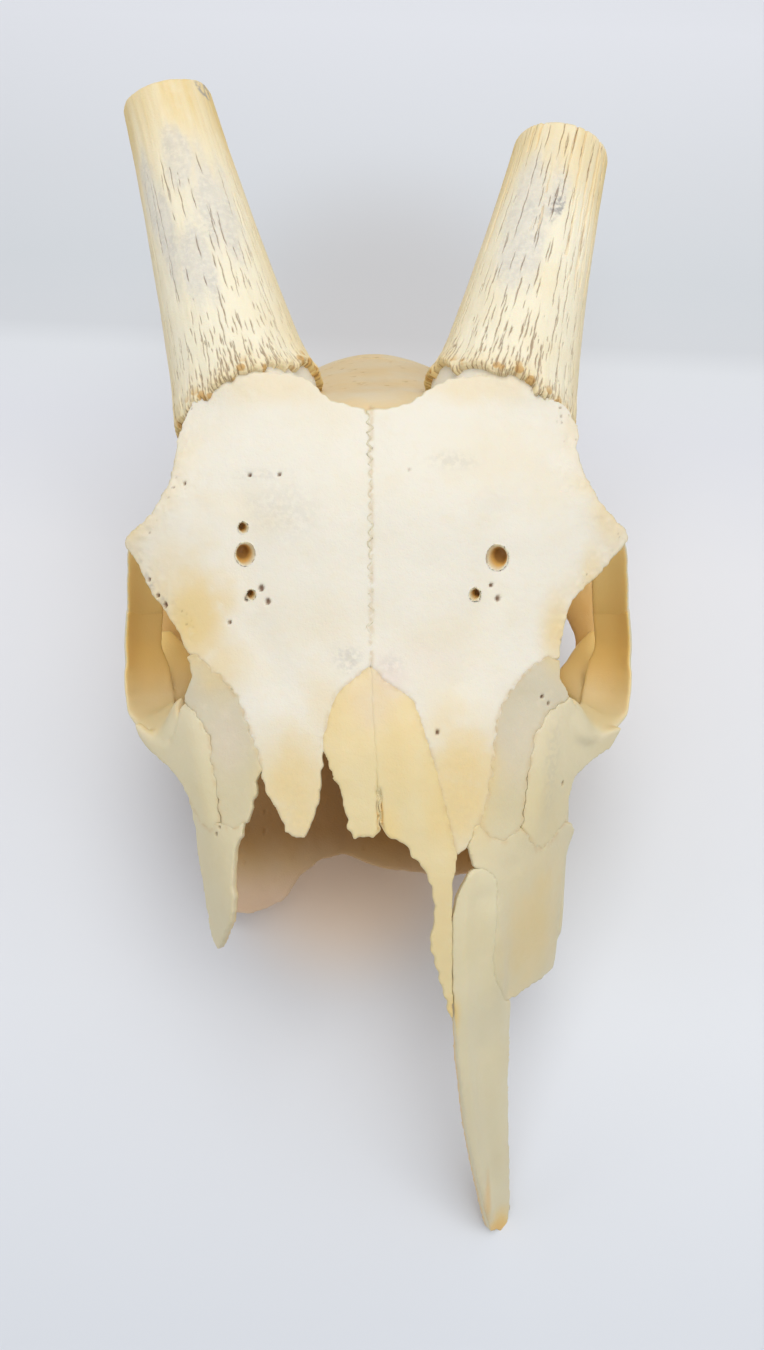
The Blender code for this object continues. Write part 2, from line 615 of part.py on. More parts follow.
TEMPORAL_ARCH = (
    ((81.5, 11, -82), (-5, 1.5, -0.5), 2.6),
    ((82, 15, -82), (-5.5, 0.5, -1), 3.0),
    ((82, 20, -82), (-5.5, -2.5, -1.5), 3.3),
    ((81.5, 27, -83), (-6.5, -4, -2.5), 3.4),
    ((79, 36, -84), (-7.5, -4, -3.5), 3.4),
    ((75, 48, -84.5), (-6, -2, -5), 3.4),
    ((67, 62, -86), (0, 0, -7.5), 4.0),
    ((54, 73, -93), (6, 0, -7), 7.0),
    ((38, 78, -97), (8, 0, -7), 9.0),
)
RIGHT_ORBIT = 0.955    # the right orbit stands a little nearer to the midline
RIGHT_ARCH = 0.935     # and so does the right cheek arch
ORBIT_CENTRE = (60.0, 14.0, -30.0)
SCOOP = 4.2            # how far the inner face of the orbit's rim is hollowed
TOOTH_ROW = (
    ((56.5, -99, -54), (2, 0, 7), 3.5),
    ((56.5, -88, -61), (3, 0, 17), 5.5),
    ((55.5, -66, -63), (4, 0, 24), 7.5),
    ((54, -40, -62), (6, 0, 27), 9.0),
    ((50, -14, -62), (8, 0, 28), 10.0),
    ((45, 0, -68), (4, 0, 20), 8.0),
)
TOOTH_SOCKETS = ((-90, 3.2, 3.6), (-79, 3.8, 4.6), (-67, 4.4, 5.4), (-52, 5.8, 6.4),
                 (-35, 6.2, 7.4), (-17, 6.2, 7.0))      # s, half-breadth, half-length
PAROCCIPITAL = (
    ((33, 102, -118), (12, 0, 6), 5.5),
    ((35, 99, -132), (9.5, 1, 3), 5.0),
    ((37, 96, -146), (7, 2, 1), 4.0),
    ((38, 93.5, -157), (5, 1, 1), 3.4),
    ((38, 91, -166), (3, 0, 0), 2.8),
)
PALATINE = (
    ((44.5, -34, -80), (0, 32, 0), 1.5),
    ((30, -33.5, -77), (0, 36.5, 0), 1.5),
    ((10, -30, -74.5), (0, 38, 0), 1.5),
    ((-10, -27.5, -74.5), (0, 34.5, 0), 1.5),
    ((-26, -29.5, -77), (0, 33.5, 0), 1.5),
    ((-38, -37, -80), (0, 36, 0), 1.5),
    ((-46, -46, -82), (0, 37, 0), 1.5),
)
PTERYGOID = (
    ((16, 36, -88), (0, 11, -3), 3.0),
    ((15, 31, -100), (0, 9, -2), 2.2),
    ((14, 25, -112), (0, 5, -1), 1.6),
)


def braincase(name):
    """The closed shape of the braincase and of the wall between the orbits."""
    rings = []
    angle = np.arange(22) * math.tau / 22 + math.pi / 2
    for top, foot, half_width, flare in CASE_SECTIONS:
        middle = (np.array(top, float) + foot) / 2
        half = (np.array(top, float) - foot) / 2
        power = 2 / 2.3
        up = np.sign(np.sin(angle)) * np.abs(np.sin(angle)) ** power
        across = np.sign(np.cos(angle)) * np.abs(np.cos(angle)) ** power
        rings.append(np.stack([half_width * across * (1 + flare * up),
                               middle[0] + half[0] * up, middle[1] + half[1] * up], -1))
    return loft(name, rings)


def beyond(cut, far, near=GAP / 2):
    """A long quadrilateral on one side of a cut in (s, n), half a gap away from it."""
    a, b = (np.array(p) for p in cut)
    along = (b - a) / np.linalg.norm(b - a)
    side = np.array([-along[1], along[0]]) * math.copysign(1, far)
    a, b = a - 60 * along, b + 60 * along
    return [tuple(p) for p in (a + near * side, b + near * side, b + abs(far) * side,
                               a + abs(far) * side)]


def quadrant(cut, other):
    """The region behind one cut and above the other, in (s, n), grown by half a gap."""
    (a, b), (c, d) = (tuple(np.array(p) for p in line) for line in (cut, other))
    down, back = ((e - a) / np.linalg.norm(e - a) for e, a in ((b, a), (d, c)))
    share = np.linalg.solve(np.stack([down, -back], -1), c - a)
    corner = a + share[0] * down
    behind, above = np.array([-down[1], down[0]]), np.array([-back[1], back[0]])
    corner = corner - GAP / 2 * (behind + above)
    return [tuple(p) for p in (corner, corner + 200 * back, corner + 200 * back + 200 * above,
                               corner - 200 * down)]


def trimmed(obj, cut, away, x0=-150.0, x1=150.0):
    """Cuts off the side of a line in (s, n) that away points to, with half a gap."""
    part = prism(f"trim {obj.name} {len(obj.modifiers)}", beyond(cut, away, -GAP / 2), x0, x1)
    combine(obj, part, "DIFFERENCE")


def hollow():
    (s, n), across, along, up = CAVITY
    return egg("brain cavity", (0, s, n), (across, along, up), CASE_TILT, subdivisions=3)


def build_braincase(neighbours):
    """Parietal, temporals, occipital and sphenoid, cut from one shape round one cavity."""
    cavity = hollow()
    opening = loft("foramen magnum", [
        [(11 * math.cos(a), s + 9.5 * 0.9 * math.sin(a), n + 9.5 * 0.44 * math.sin(a))
         for a in np.arange(14) * math.tau / 14] for s, n in ((84, -100), (122, -146))],
        helper=True)
    room = [grown(bone, 0.6) for bone in neighbours]

    def case(name):
        obj = braincase(name)
        for helper in room:
            combine(obj, helper, "DIFFERENCE")
        combine(obj, cavity, "DIFFERENCE")
        combine(obj, opening, "DIFFERENCE")
        return obj

    parietal = case("parietal")
    trimmed(parietal, SPHENOID_CUT, -200)
    trimmed(parietal, OCCIPITAL_CUT, 200)
    trimmed(parietal, SQUAMOUS_CUT, -200)

    temporals = []
    for side, sign in (("left", 1), ("right", -1)):
        temporal = case(f"temporal_{side}")
        trimmed(temporal, SPHENOID_CUT, -200)
        trimmed(temporal, OCCIPITAL_CUT, 200)
        trimmed(temporal, SQUAMOUS_CUT, 200)
        wide = sorted(((BASE_HALF_WIDTH + GAP / 2) * sign, -150 * sign))
        combine(temporal, prism(f"middle {side}", beyond(SPHENOID_CUT, 300, -200), *wide),
                "DIFFERENCE")
        settle(temporal)
        arch = TEMPORAL_ARCH if sign > 0 else mirrored(TEMPORAL_ARCH, RIGHT_ARCH)
        combine(temporal, band(f"zygomatic process {side}", arch, helper=True), "UNION")
        combine(temporal, egg(f"bulla {side}", (28 * sign, 74, -122), (8, 13, 13)), "UNION")
        combine(temporal, cavity, "DIFFERENCE")
        temporals.append(temporal)

    occipital = case("occipital")
    trimmed(occipital, OCCIPITAL_CUT, -200)
    settle(occipital)
    condyles = [egg(f"condyle {sign}", (16 * sign, 104, -137), (9.5, 10.5, 13))
                for sign in (1, -1)]
    for condyle, sign in zip(condyles, (1, -1)):
        combine(occipital, condyle, "UNION")
        process = PAROCCIPITAL if sign > 0 else mirrored(PAROCCIPITAL)
        combine(occipital, band(f"paroccipital {sign}", process, helper=True), "UNION")
    combine(occipital, opening, "DIFFERENCE")
    combine(occipital, cavity, "DIFFERENCE")

    sphenoid = case("sphenoid")
    trimmed(sphenoid, OCCIPITAL_CUT, 200)
    combine(sphenoid, prism("above the base", quadrant(SPHENOID_CUT, SQUAMOUS_CUT), -150, 150),
            "DIFFERENCE")
    for condyle in condyles:
        combine(sphenoid, grown(condyle), "DIFFERENCE")
    combine(sphenoid, loft("nasal fossa", [
        [(across * math.cos(a), s, n + up * math.sin(a))
         for a in np.arange(14) * math.tau / 14] for s, n, across, up in NASAL_FOSSA],
        helper=True), "DIFFERENCE")
    for sign in (1, -1):
        wide = sorted(((BASE_HALF_WIDTH - GAP / 2) * sign, 150 * sign))
        combine(sphenoid, prism(f"beside the base {sign}", beyond(SPHENOID_CUT, 200, -GAP / 2),
                                *wide), "DIFFERENCE")
    settle(sphenoid)
    for sign in (1, -1):
        process = PTERYGOID if sign > 0 else mirrored(PTERYGOID)
        combine(sphenoid, band(f"pterygoid {sign}", process, helper=True), "UNION")
    return parietal, temporals, occipital, sphenoid


def build_skull():
    bones = {name: plate(name, *how) for name, how in PLATES.items()}
    for obj in bones.values():
        settle(obj)

    for s, v, radius in FORAMINA:
        at, out = face_point(s, v)[0], face_normal(s, v)[0]
        side = "left" if v > 0 else "right"
        turn = np.arange(10) * math.tau / 10
        ring = np.stack([radius * np.cos(turn), 1.25 * radius * np.sin(turn), 0 * turn], -1)
        hole = loft(f"foramen {s} {v}", [at + ring - 12 * out, at + ring + 6 * out], helper=True)
        combine(bones[f"frontal_{side}"], hole, "DIFFERENCE")

    for side, sign in (("left", 1), ("right", -1)):
        frontal = bones[f"frontal_{side}"]
        combine(frontal, pedicle(side), "UNION")
        bar = POSTORBITAL_BAR if sign > 0 else mirrored(POSTORBITAL_BAR, RIGHT_ORBIT)
        orbit = (sign * ORBIT_CENTRE[0], *ORBIT_CENTRE[1:])
        combine(frontal, band(f"bar {side}", bar, True, facing=orbit, hollow=SCOOP), "UNION")
        bones[f"horn_core_{side}"] = horn_core(side)
        jugal = bones[f"jugal_{side}"]
        rim, arch = ORBITAL_RIM, JUGAL_ARCH
        if sign < 0:
            rim, arch = mirrored(rim, RIGHT_ORBIT), mirrored(arch, RIGHT_ARCH)
        combine(jugal, band(f"rim {side}", rim, True, facing=orbit, hollow=SCOOP), "UNION")
        combine(jugal, band(f"arch {side}", arch, helper=True), "UNION")
        settle(bones[f"horn_core_{side}"])
        combine(frontal, grown(bones[f"horn_core_{side}"]), "DIFFERENCE")
        settle(frontal)
        settle(jugal)
        combine(jugal, grown(bones[f"lacrimal_{side}"]), "DIFFERENCE")
        combine(jugal, grown(frontal), "DIFFERENCE")
        settle(jugal)

    maxilla = bones["maxilla_left"]
    row = band("tooth row", TOOTH_ROW, helper=True, corners=12, square=0.7)
    for name in ("jugal_left", "lacrimal_left", "premaxilla_left"):
        combine(row, grown(bones[name]), "DIFFERENCE")
    for s, half_breadth, half_length in TOOTH_SOCKETS:
        centre = np.interp(s, [p[0][1] for p in TOOTH_ROW], [p[0][0] for p in TOOTH_ROW])
        foot = np.interp(s, [p[0][1] for p in TOOTH_ROW], [p[0][2] - p[1][2] for p in TOOTH_ROW])
        socket = loft(f"socket {s}", [
            [(centre + scale * half_breadth * math.cos(a), s + scale * half_length * math.sin(a),
              foot + h) for a in np.arange(8) * math.tau / 8]
            for h, scale in ((-6, 1.0), (2, 0.95), (8, 0.6))], helper=True)
        combine(row, socket, "DIFFERENCE")
    settle(row)
    combine(maxilla, row, "UNION")

    case = build_braincase([bones[name] for name in (
        "frontal_left", "frontal_right", "horn_core_left", "horn_core_right")])
    parietal, temporals, occipital, sphenoid = case
    bones.update(parietal=parietal, occipital=occipital, sphenoid=sphenoid,
                 temporal_left=temporals[0], temporal_right=temporals[1],
                 palatine=band("palatine", PALATINE, corners=16, square=0.45))
    for obj in bones.values():
        if obj.modifiers:
            settle(obj)
    for name, neighbours in MAKE_ROOM.items():
        for neighbour in neighbours:
            combine(bones[name], grown(bones[neighbour]), "DIFFERENCE")
        settle(bones[name])
    return bones


def rest_on_floor(bones):
    """Pitches the skull onto its three feet and wears each foot to a small flat at z = 0.

    The bones stay in the face frame, under an empty that holds the pose.
    """
    s, v = TIP_OF_PREMAXILLA
    tip = skin(np.array([s]), np.array([v]))[0] - 3.6 * face_normal(s, v)[0]
    rear = np.array(PAROCCIPITAL_TIP)
    pitch = math.atan2(tip[2] - rear[2], rear[1] - tip[1])
    low = tip[1] * math.sin(pitch) + tip[2] * math.cos(pitch)
    pose = bpy.data.objects.new("pose", None)
    bpy.context.collection.objects.link(pose)
    pose.rotation_euler = (pitch, 0, 0)
    pose.location = (0, 0, -(low + FOOT_DEPTH) * MM)
    for obj in bones.values():
        obj.parent = pose
    bpy.ops.mesh.primitive_cube_add(size=0.6, location=(0, 0, -0.3))
    floor = bpy.context.object
    floor.name = "floor"
    floor.hide_render = True
    floor.display_type = "WIRE"
    for name in ("premaxilla_left", "occipital"):
        combine(bones[name], floor, "DIFFERENCE")
        settle(bones[name])
    bpy.context.view_layer.update()
    corners = np.array([(pose.matrix_world @ vert.co)[:]
                        for obj in bones.values() for vert in obj.data.vertices])
    low, high = corners.min(axis=0), corners.max(axis=0)
    pose.location -= Vector(((low[0] + high[0]) / 2, (low[1] + high[1]) / 2, low[2]))


def dress(bones):
    """Gives each bone its colour and smooth shading with sharp breaks."""
    for name, obj in bones.items():
        colour, roughness = next(look for start, look in LOOKS.items() if name.startswith(start))
        material = bpy.data.materials.new(f"{name} bone")
        material.use_nodes = True
        shader = material.node_tree.nodes["Principled BSDF"]
        shader.inputs["Base Color"].default_value = (*colour, 1)
        shader.inputs["Roughness"].default_value = roughness
        shader.inputs["Metallic"].default_value = 0
        obj.data.materials.clear()
        obj.data.materials.append(material)
        obj.data.shade_smooth()
        obj.data.set_sharp_from_angle(angle=math.radians(40))


def main():
    for obj in list(bpy.data.objects):
        bpy.data.objects.remove(obj)
    bones = build_skull()
    rest_on_floor(bones)
    dress(bones)
    for obj in list(bpy.data.objects):
        if obj.hide_render:
            bpy.data.objects.remove(obj)


main()
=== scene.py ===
"""The looks of an oryx skull without its lower jaw, lying face up on a pale floor.

Every bone is modelled finely in the face frame, in millimetres: x to the skull's left, s along
the face towards the horns, n out of the face, and zero near the nasion. PITCH and PLACE then
set the frame on the floor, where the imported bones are.
"""

import math

import bmesh
import bpy
import numpy as np
from mathutils import Matrix, Vector, geometry, kdtree

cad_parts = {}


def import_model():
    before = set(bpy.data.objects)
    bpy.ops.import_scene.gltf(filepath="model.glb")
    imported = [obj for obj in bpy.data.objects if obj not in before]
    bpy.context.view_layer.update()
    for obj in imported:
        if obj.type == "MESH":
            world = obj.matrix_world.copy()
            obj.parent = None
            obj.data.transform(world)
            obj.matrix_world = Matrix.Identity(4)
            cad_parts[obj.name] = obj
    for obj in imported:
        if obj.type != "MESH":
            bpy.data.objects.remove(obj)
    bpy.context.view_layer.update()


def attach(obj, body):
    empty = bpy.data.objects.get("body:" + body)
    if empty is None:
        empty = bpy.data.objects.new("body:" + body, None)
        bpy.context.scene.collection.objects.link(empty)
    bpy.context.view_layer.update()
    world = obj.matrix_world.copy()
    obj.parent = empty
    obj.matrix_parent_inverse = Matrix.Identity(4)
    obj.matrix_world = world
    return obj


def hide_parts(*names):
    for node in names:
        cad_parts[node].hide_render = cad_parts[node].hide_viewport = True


MM = 0.001
PITCH = math.radians(19.44142)
PLACE = (-1.854, -19.7109, 124.4034)

# The camera in the face frame: where it stands and how far it leans from looking straight in.
CAMERA_AT = (3.2, -35.36, 298.36)
CAMERA_LEAN = math.radians(6)
LENS = 27.0

FACE_VOXEL = 0.5       # fineness of the bones of the face
CASE_VOXEL = 0.85      # and of the braincase
GAP = 0.1              # between two bones of the braincase
GRID = 1.8             # spacing of the points inside a plate of bone
EDGE = 0.7             # spacing of the points along a plate's edge
ROUND = 48             # corners of a strap or an egg-shaped swelling

# Half of a cross-section of the face: station s, height at the midline, slope of the roof in
# degrees, where it turns down and over what width, slope of the wall, where that turns under
# and to what slope.
FACE_STATIONS = {
    "premaxilla tip": (-210, -64, 10, 22, 20, 40, 66, 50),
    "premaxilla": (-160, -34, 12, 22, 20, 44, 70, 60),
    "snout": (-118, -10, 14, 20, 20, 52, 80, 80),
    "facial tuber": (-95, -3, 10, 24, 22, 58, 78, 88),
    "cheek": (-60, 1, 8, 30, 24, 54, 70, 86),
    "lacrimal": (-25, 1, 8, 36, 30, 46, 92, 80),
    "nasion": (0, 1, 8, 42, 30, 34, 110, 60),
    "orbit": (25, 3, 8, 45, 30, 28, 120, 40),
    "postorbital": (50, 5, 8, 50, 30, 24, 120, 40),
    "pedicle": (80, 3, 8, 45, 30, 24, 120, 40),
    "rear": (110, -4, 8, 45, 30, 24, 120, 40),
}
TURN_UNDER = 12.0

# Each suture or margin once, as (s, v) with v the distance from the midline over the skin of
# the face. Positive v is the skull's left.
LINES = {
    "interfrontal": [(-1, 0), (20, 0), (45, 0), (76, 0)],
    "fringe left": [(76, 0), (77, 8.5), (79, 13), (83, 18), (87, 25)],
    "pedicle left": [(87, 25), (88, 42), (84, 58), (72, 64.5)],
    "supraorbital left": [(72, 64.5), (64, 63), (56, 65.5), (49, 70.5), (44, 76), (40, 81.5)],
    "orbit left": [(40, 81.5), (34, 76.5), (28, 71.5), (24, 66), (19, 61.5), (13, 59.5),
                   (6, 58), (1, 58)],
    "frontolacrimal left": [(1, 58), (2, 53.5), (0, 50), (-5, 44.5), (-11, 40),
                            (-17, 37.5), (-32, 36), (-41, 34.5), (-47, 32)],
    "lobe left": [(-47, 32), (-53, 29), (-56, 26.5), (-58, 25)],
    "nasofrontal left": [(-58, 25), (-54, 24.5), (-44, 22), (-33, 19.5), (-22, 16),
                         (-11, 12.5), (-9, 8.5), (-6, 4), (-1, 0)],
    "lacrimal rim left": [(1, 58), (-4, 57.5), (-7, 60), (-10, 62.5)],
    "jugolacrimal left": [(-10, 62.5), (-12.5, 57), (-15, 53), (-22, 49), (-35, 47),
                          (-49, 45.5)],
    "maxillolacrimal left": [(-49, 45.5), (-53, 40), (-52, 35), (-47, 32)],
    "jugomaxillary left": [(-49, 45.5), (-56, 53), (-54, 62), (-48, 70)],
    "jugal edge left": [(-48, 70), (-42, 69), (-34, 69.5), (-30, 76), (-26, 84), (-24, 89),
                        (-18, 93)],
    "jugal rim left": [(-18, 93), (-19.5, 88), (-21, 82), (-22.5, 75), (-21, 70.5),
                       (-16.5, 67), (-12, 65), (-10, 62.5)],
    "maxilla edge left": [(-48, 70), (-50, 78), (-57, 84), (-70, 88), (-83, 89), (-93, 86),
                          (-98, 80)],
    "maxilla front left": [(-98, 80), (-99, 72), (-101, 61), (-103, 52.5)],
    "premaxillary left": [(-103, 52.5), (-102, 46.5), (-94, 39), (-88, 37.5), (-76, 38),
                          (-64, 38), (-61, 35), (-60, 30.5)],
    "maxilla corner left": [(-60, 30.5), (-56.5, 29), (-53, 29)],
    "premaxilla medial": [(-60, 30.5), (-64, 28.5), (-69, 25.8), (-75, 24.5), (-87, 24.5),
                          (-99, 25), (-108, 26), (-118, 26.5), (-128, 28), (-143, 30),
                          (-159, 34), (-174, 38.5), (-183, 41.5), (-188, 43)],
    "premaxilla tip": [(-188, 43), (-186, 46), (-191, 49), (-187, 51.5)],
    "premaxilla lateral": [(-187, 51.5), (-177, 52.5), (-164, 51), (-152, 49.5),
                           (-130, 50.5), (-117, 52.5), (-106, 51.5), (-103, 52.5)],
    "internasal": [(-1, 0), (-15, 0.5), (-30, 1.5), (-49, 3)],
    "nasal break left": [(-49, 3), (-52, 6), (-53, 9.5), (-57, 12), (-61, 15.5),
                         (-65, 17.5), (-71, 18.5), (-77, 18.5), (-81, 17), (-85, 18),
                         (-91, 19.4), (-97, 21.3), (-103, 22.8), (-107, 24.6)],
    "nasal strip": [(-107, 24.6), (-99, 24.3), (-87, 23.9), (-75, 23.8), (-64, 24), (-58, 25)],
    "fringe right": [(76, 0), (78, -9.5), (80, -14), (84, -17), (88, -23)],
    "pedicle right": [(88, -23), (89, -40), (85, -54), (69, -60)],
    "supraorbital right": [(69, -60), (63, -59.5), (55, -60.5), (48, -64.5), (43, -69.5),
                           (38, -78)],
    "orbit right": [(38, -78), (32, -74), (23, -69), (16, -63.5), (9, -58.5), (3, -56)],
    "frontolacrimal right": [(3, -56), (2, -52.5), (0, -50), (-5, -44.5), (-11, -40),
                             (-17, -37), (-25, -34), (-30, -32.5)],
    "lobe right": [(-30, -32.5), (-38, -30.5), (-45, -26.5), (-51, -23), (-52, -21.5),
                   (-50, -19.5), (-45, -17), (-38, -15.5), (-31, -15), (-25, -14.5)],
    "nasofrontal right": [(-25, -14.5), (-16, -12.5), (-10, -10.5), (-6, -6), (-1, 0)],
    "nasal break right": [(-25, -14.5), (-31, -11.5), (-35, -10.5), (-38, -8), (-43, -8),
                          (-48.5, -7), (-50.5, -5.5), (-51.5, -3.5), (-52, -1.5), (-51.5, 0),
                          (-52, 1.2), (-49, 3)],
    "lacrimal rim right": [(3, -56), (-4, -54), (-8.5, -56.5), (-11.5, -58)],
    "jugolacrimal right": [(-11.5, -58), (-14, -53.5), (-22, -49), (-35, -47), (-47, -45.5)],
    "maxillolacrimal right": [(-47, -45.5), (-50, -42), (-47, -37)],
    "lacrimal break right": [(-47, -37), (-38, -34.5), (-30, -32.5)],
    "jugomaxillary right": [(-47, -45.5), (-50, -50), (-47, -55), (-41, -59.5)],
    "jugal edge right": [(-41, -59.5), (-36, -63), (-30, -71), (-26, -79.5), (-21.5, -84),
                         (-16, -85)],
    "jugal rim right": [(-16, -85), (-18.5, -81.5), (-22, -76.5), (-24.5, -70), (-23, -65.5),
                        (-18.5, -62), (-14, -60), (-11.5, -58)],
    "spike outer": [(-41, -59.5), (-50, -59), (-58, -60.5), (-66, -60), (-75, -60.5),
                    (-83, -60.5), (-88, -57)],
    "spike inner": [(-88, -57), (-78, -45), (-72, -42), (-64, -42), (-55, -40.5), (-47, -37)],
}

# The plates of the face: the lines round each one, a minus sign where a line runs backwards,
# and the thickness at the front and at the rear of the face.
PLATES = {
    "frontal_left": (["interfrontal", "fringe left", "pedicle left", "supraorbital left",
                      "orbit left", "frontolacrimal left", "lobe left", "nasofrontal left"],
                     2.8, 7.5),
    "frontal_right": (["interfrontal", "fringe right", "pedicle right", "supraorbital right",
                       "orbit right", "frontolacrimal right", "lobe right",
                       "nasofrontal right"], 2.8, 7.5),
    "lacrimal_left": (["-frontolacrimal left", "lacrimal rim left", "jugolacrimal left",
                       "maxillolacrimal left"], 2.8, 3.5),
    "lacrimal_right": (["-frontolacrimal right", "lacrimal rim right", "jugolacrimal right",
                        "maxillolacrimal right", "lacrimal break right"], 2.8, 3.5),
    "nasal_left": (["-nasofrontal left", "-nasal strip", "-nasal break left", "-internasal"],
                   2.2, 3.0),
    "nasal_right": (["-nasofrontal right", "nasal break right", "-internasal"], 2.2, 3.0),
    "jugal_left": (["jugolacrimal left", "jugomaxillary left", "jugal edge left",
                    "jugal rim left"], 3.0, 3.6),
    "jugal_right": (["jugolacrimal right", "jugomaxillary right", "jugal edge right",
                     "jugal rim right"], 3.0, 3.6),
    "maxilla_left": (["-maxillolacrimal left", "jugomaxillary left", "maxilla edge left",
                      "maxilla front left", "premaxillary left", "maxilla corner left",
                      "-lobe left"], 2.8, 2.8),
    "maxilla_right": (["-jugomaxillary right", "maxillolacrimal right", "-spike inner",
                       "-spike outer"], 2.6, 2.6),
    "premaxilla_left": (["premaxilla medial", "premaxilla tip", "premaxilla lateral",
                         "premaxillary left"], 3.6, 3.2),
}

# The first of these words that a line's name holds says how far its wandering and its teeth
# stray, as shares of the full amount, and how far each bone reaches over it into its neighbour.
LINE_STYLES = {
    "premaxilla medial": (0.2, 0.3, -0.1), "strip": (0.2, 0.15, -0.1),
    "nasofrontal": (0.3, 0.3, 0.35), "internasal": (0.3, 0.5, 0.3),
    "interfrontal": (0.0, 0.8, 0.6), "frontolacrimal": (0.9, 0.4, 0.45),
    "jugolacrimal": (0.8, 0.4, 0.45), "jugomaxillary": (1.0, 0.6, 0.45),
    "maxillolacrimal": (0.8, 0.4, 0.45), "supraorbital": (0.35, 0.5, 0.0),
    "orbit": (0.3, 0.35, 0.0), "break left": (0.6, 0.6, 0.0), "break": (0.8, 1.9, 0.0),
    "rim": (0.2, 0.12, 0.0), "edge": (0.3, 0.12, 0.0), "front": (0.4, 0.25, 0.0),
    "spike": (0.4, 0.4, 0.0), "fringe": (0.5, 0.3, 0.3), "pedicle": (0.5, 0.3, 0.3),
    "premaxillary": (0.2, 0.2, 0.7), "premaxilla": (0.25, 0.3, 0.0),
    "lobe": (0.6, 0.9, 0.0), "corner": (0.4, 0.3, 0.0),
}

# Holes in the frontals, as s, v and radius: the supraorbital foramina.
FORAMINA = ((32, -38, 2.4), (40, -38.5, 1.1), (20, -36, 1.0), (31, 38, 2.6), (20, 31, 1.2))
# Height over the skin and the share of a foramen's radius there, and how far it runs outward
# and back for each millimetre down.
FORAMEN_PROFILE = ((-6.2, 0.7), (-3, 0.9), (-0.8, 1.0), (0.3, 1.2), (3, 1.8))
FORAMEN_LEAN = (0.35, 0.25)

# Horn cores: foot and sawn end of the axis in the face frame, radius at the foot and at the end.
HORNS = {
    "left": ((42.7, 89.7, -22.0), (63.2, 174.1, -20.5), 23.6, 15.7),
    "right": ((-41.3, 89.7, -22.0), (-69.0, 191.5, -20.2), 23.2, 14.9),
}
CORE_TAPER = 1.3       # above 1 the core thins faster near its foot than near its end
SAW_SLANT = {"left": 0.0, "right": 3.0}    # how far the saw cut leans towards the foot on top
PEDICLE_CAP = 27.0     # how far forward of the foot the pedicle tapers into the forehead
PEDICLE_BLEND = 1.8    # how softly the forehead meets the pedicle
BURR_FLARE = 3.4       # how far the core stands proud of its pedicle at the burr
FAR_BELOW = -60.0      # stands for no pedicle under a point
WORN_EDGE = 1.2        # breadth of the worn edge round the sawn end
# The sawn end and the spongy canal in it: depth below the cut, and radius.
CANAL_PROFILE = ((0.0, 12.0), (0.3, 9.2), (1.6, 8.0), (8, 7.5), (25, 6.5), (50.0, 4.0))
CORE_CORNERS = 640
CORE_RINGS = 190
BURR_CORNERS = 96      # corners of the plainer rings round a core
# The slits in a core: spacing across and along, and half the width of one.
LONG_SLITS = (2.9, 13, 0.145)
SHORT_SLITS = (1.7, 6, 0.13)
TINY_SLITS = (1.2, 2.8, 0.14)
FURROWS = (3.4, 60, 0.45)

# Side profile of the braincase and the wall between the orbits: top and foot of each section
# as (s, n), its half-width, and by what share its top is wider and its foot narrower.
CASE_SECTIONS = (
    ((-14, -9), (-12, -46), 19, 0.45),
    ((8, -8), (6, -74), 25, 0.45),
    ((32, -7), (26, -92), 28, 0.40),
    ((56, -6), (44, -103), 35, 0.22),
    ((79, -5), (60, -114), 44, 0.02),
    ((99, -33), (76, -126), 47, -0.04),
    ((114, -56), (90, -136), 46, -0.06),
    ((126, -75), (99, -141), 41, -0.10),
    ((131, -84), (103, -141), 33, -0.16),
    ((129, -92), (107, -135), 20, -0.10),
)
CAVITY = ((83, -76), 38.0, 40.0, 27.0)    # centre, radii across, along and up
CASE_TILT = math.radians(-50)

# Swellings under the braincase on the skull's left: centre and radii across, along and up.
CONDYLE = ((16, 104, -137), (9.5, 10.5, 13))
CONDYLE_ROOM = 0.4     # how much larger the hole is that it sits in
BULLA = ((28, 74, -122), (8, 13, 13))
FORAMEN_MAGNUM = ((84, -100), (122, -146))    # the ends of its axis in (s, n)
FORAMEN_RADII = (11, 8.55, 4.2)               # across, along and up

# The back of the nose, open to the front: s, n and radii across and up.
NASAL_FOSSA = ((-30, -28, 15, 16), (5, -38, 17, 23), (20, -43, 15, 22), (28, -46, 8, 14))

# Where the braincase is parted, each cut as two points in (s, n) that it runs through.
SPHENOID_CUT = ((60.0, 30.0), (46.0, -170.0))
OCCIPITAL_CUT = ((136.0, -53.0), (82.0, -164.0))
SQUAMOUS_CUT = ((40.0, 4.8), (125.0, -121.9))
BASE_HALF_WIDTH = 13.0     # of the strip of sphenoid between the temporals
BLOCK_HALF_WIDTH = 150.0   # of the blocks that trim the braincase

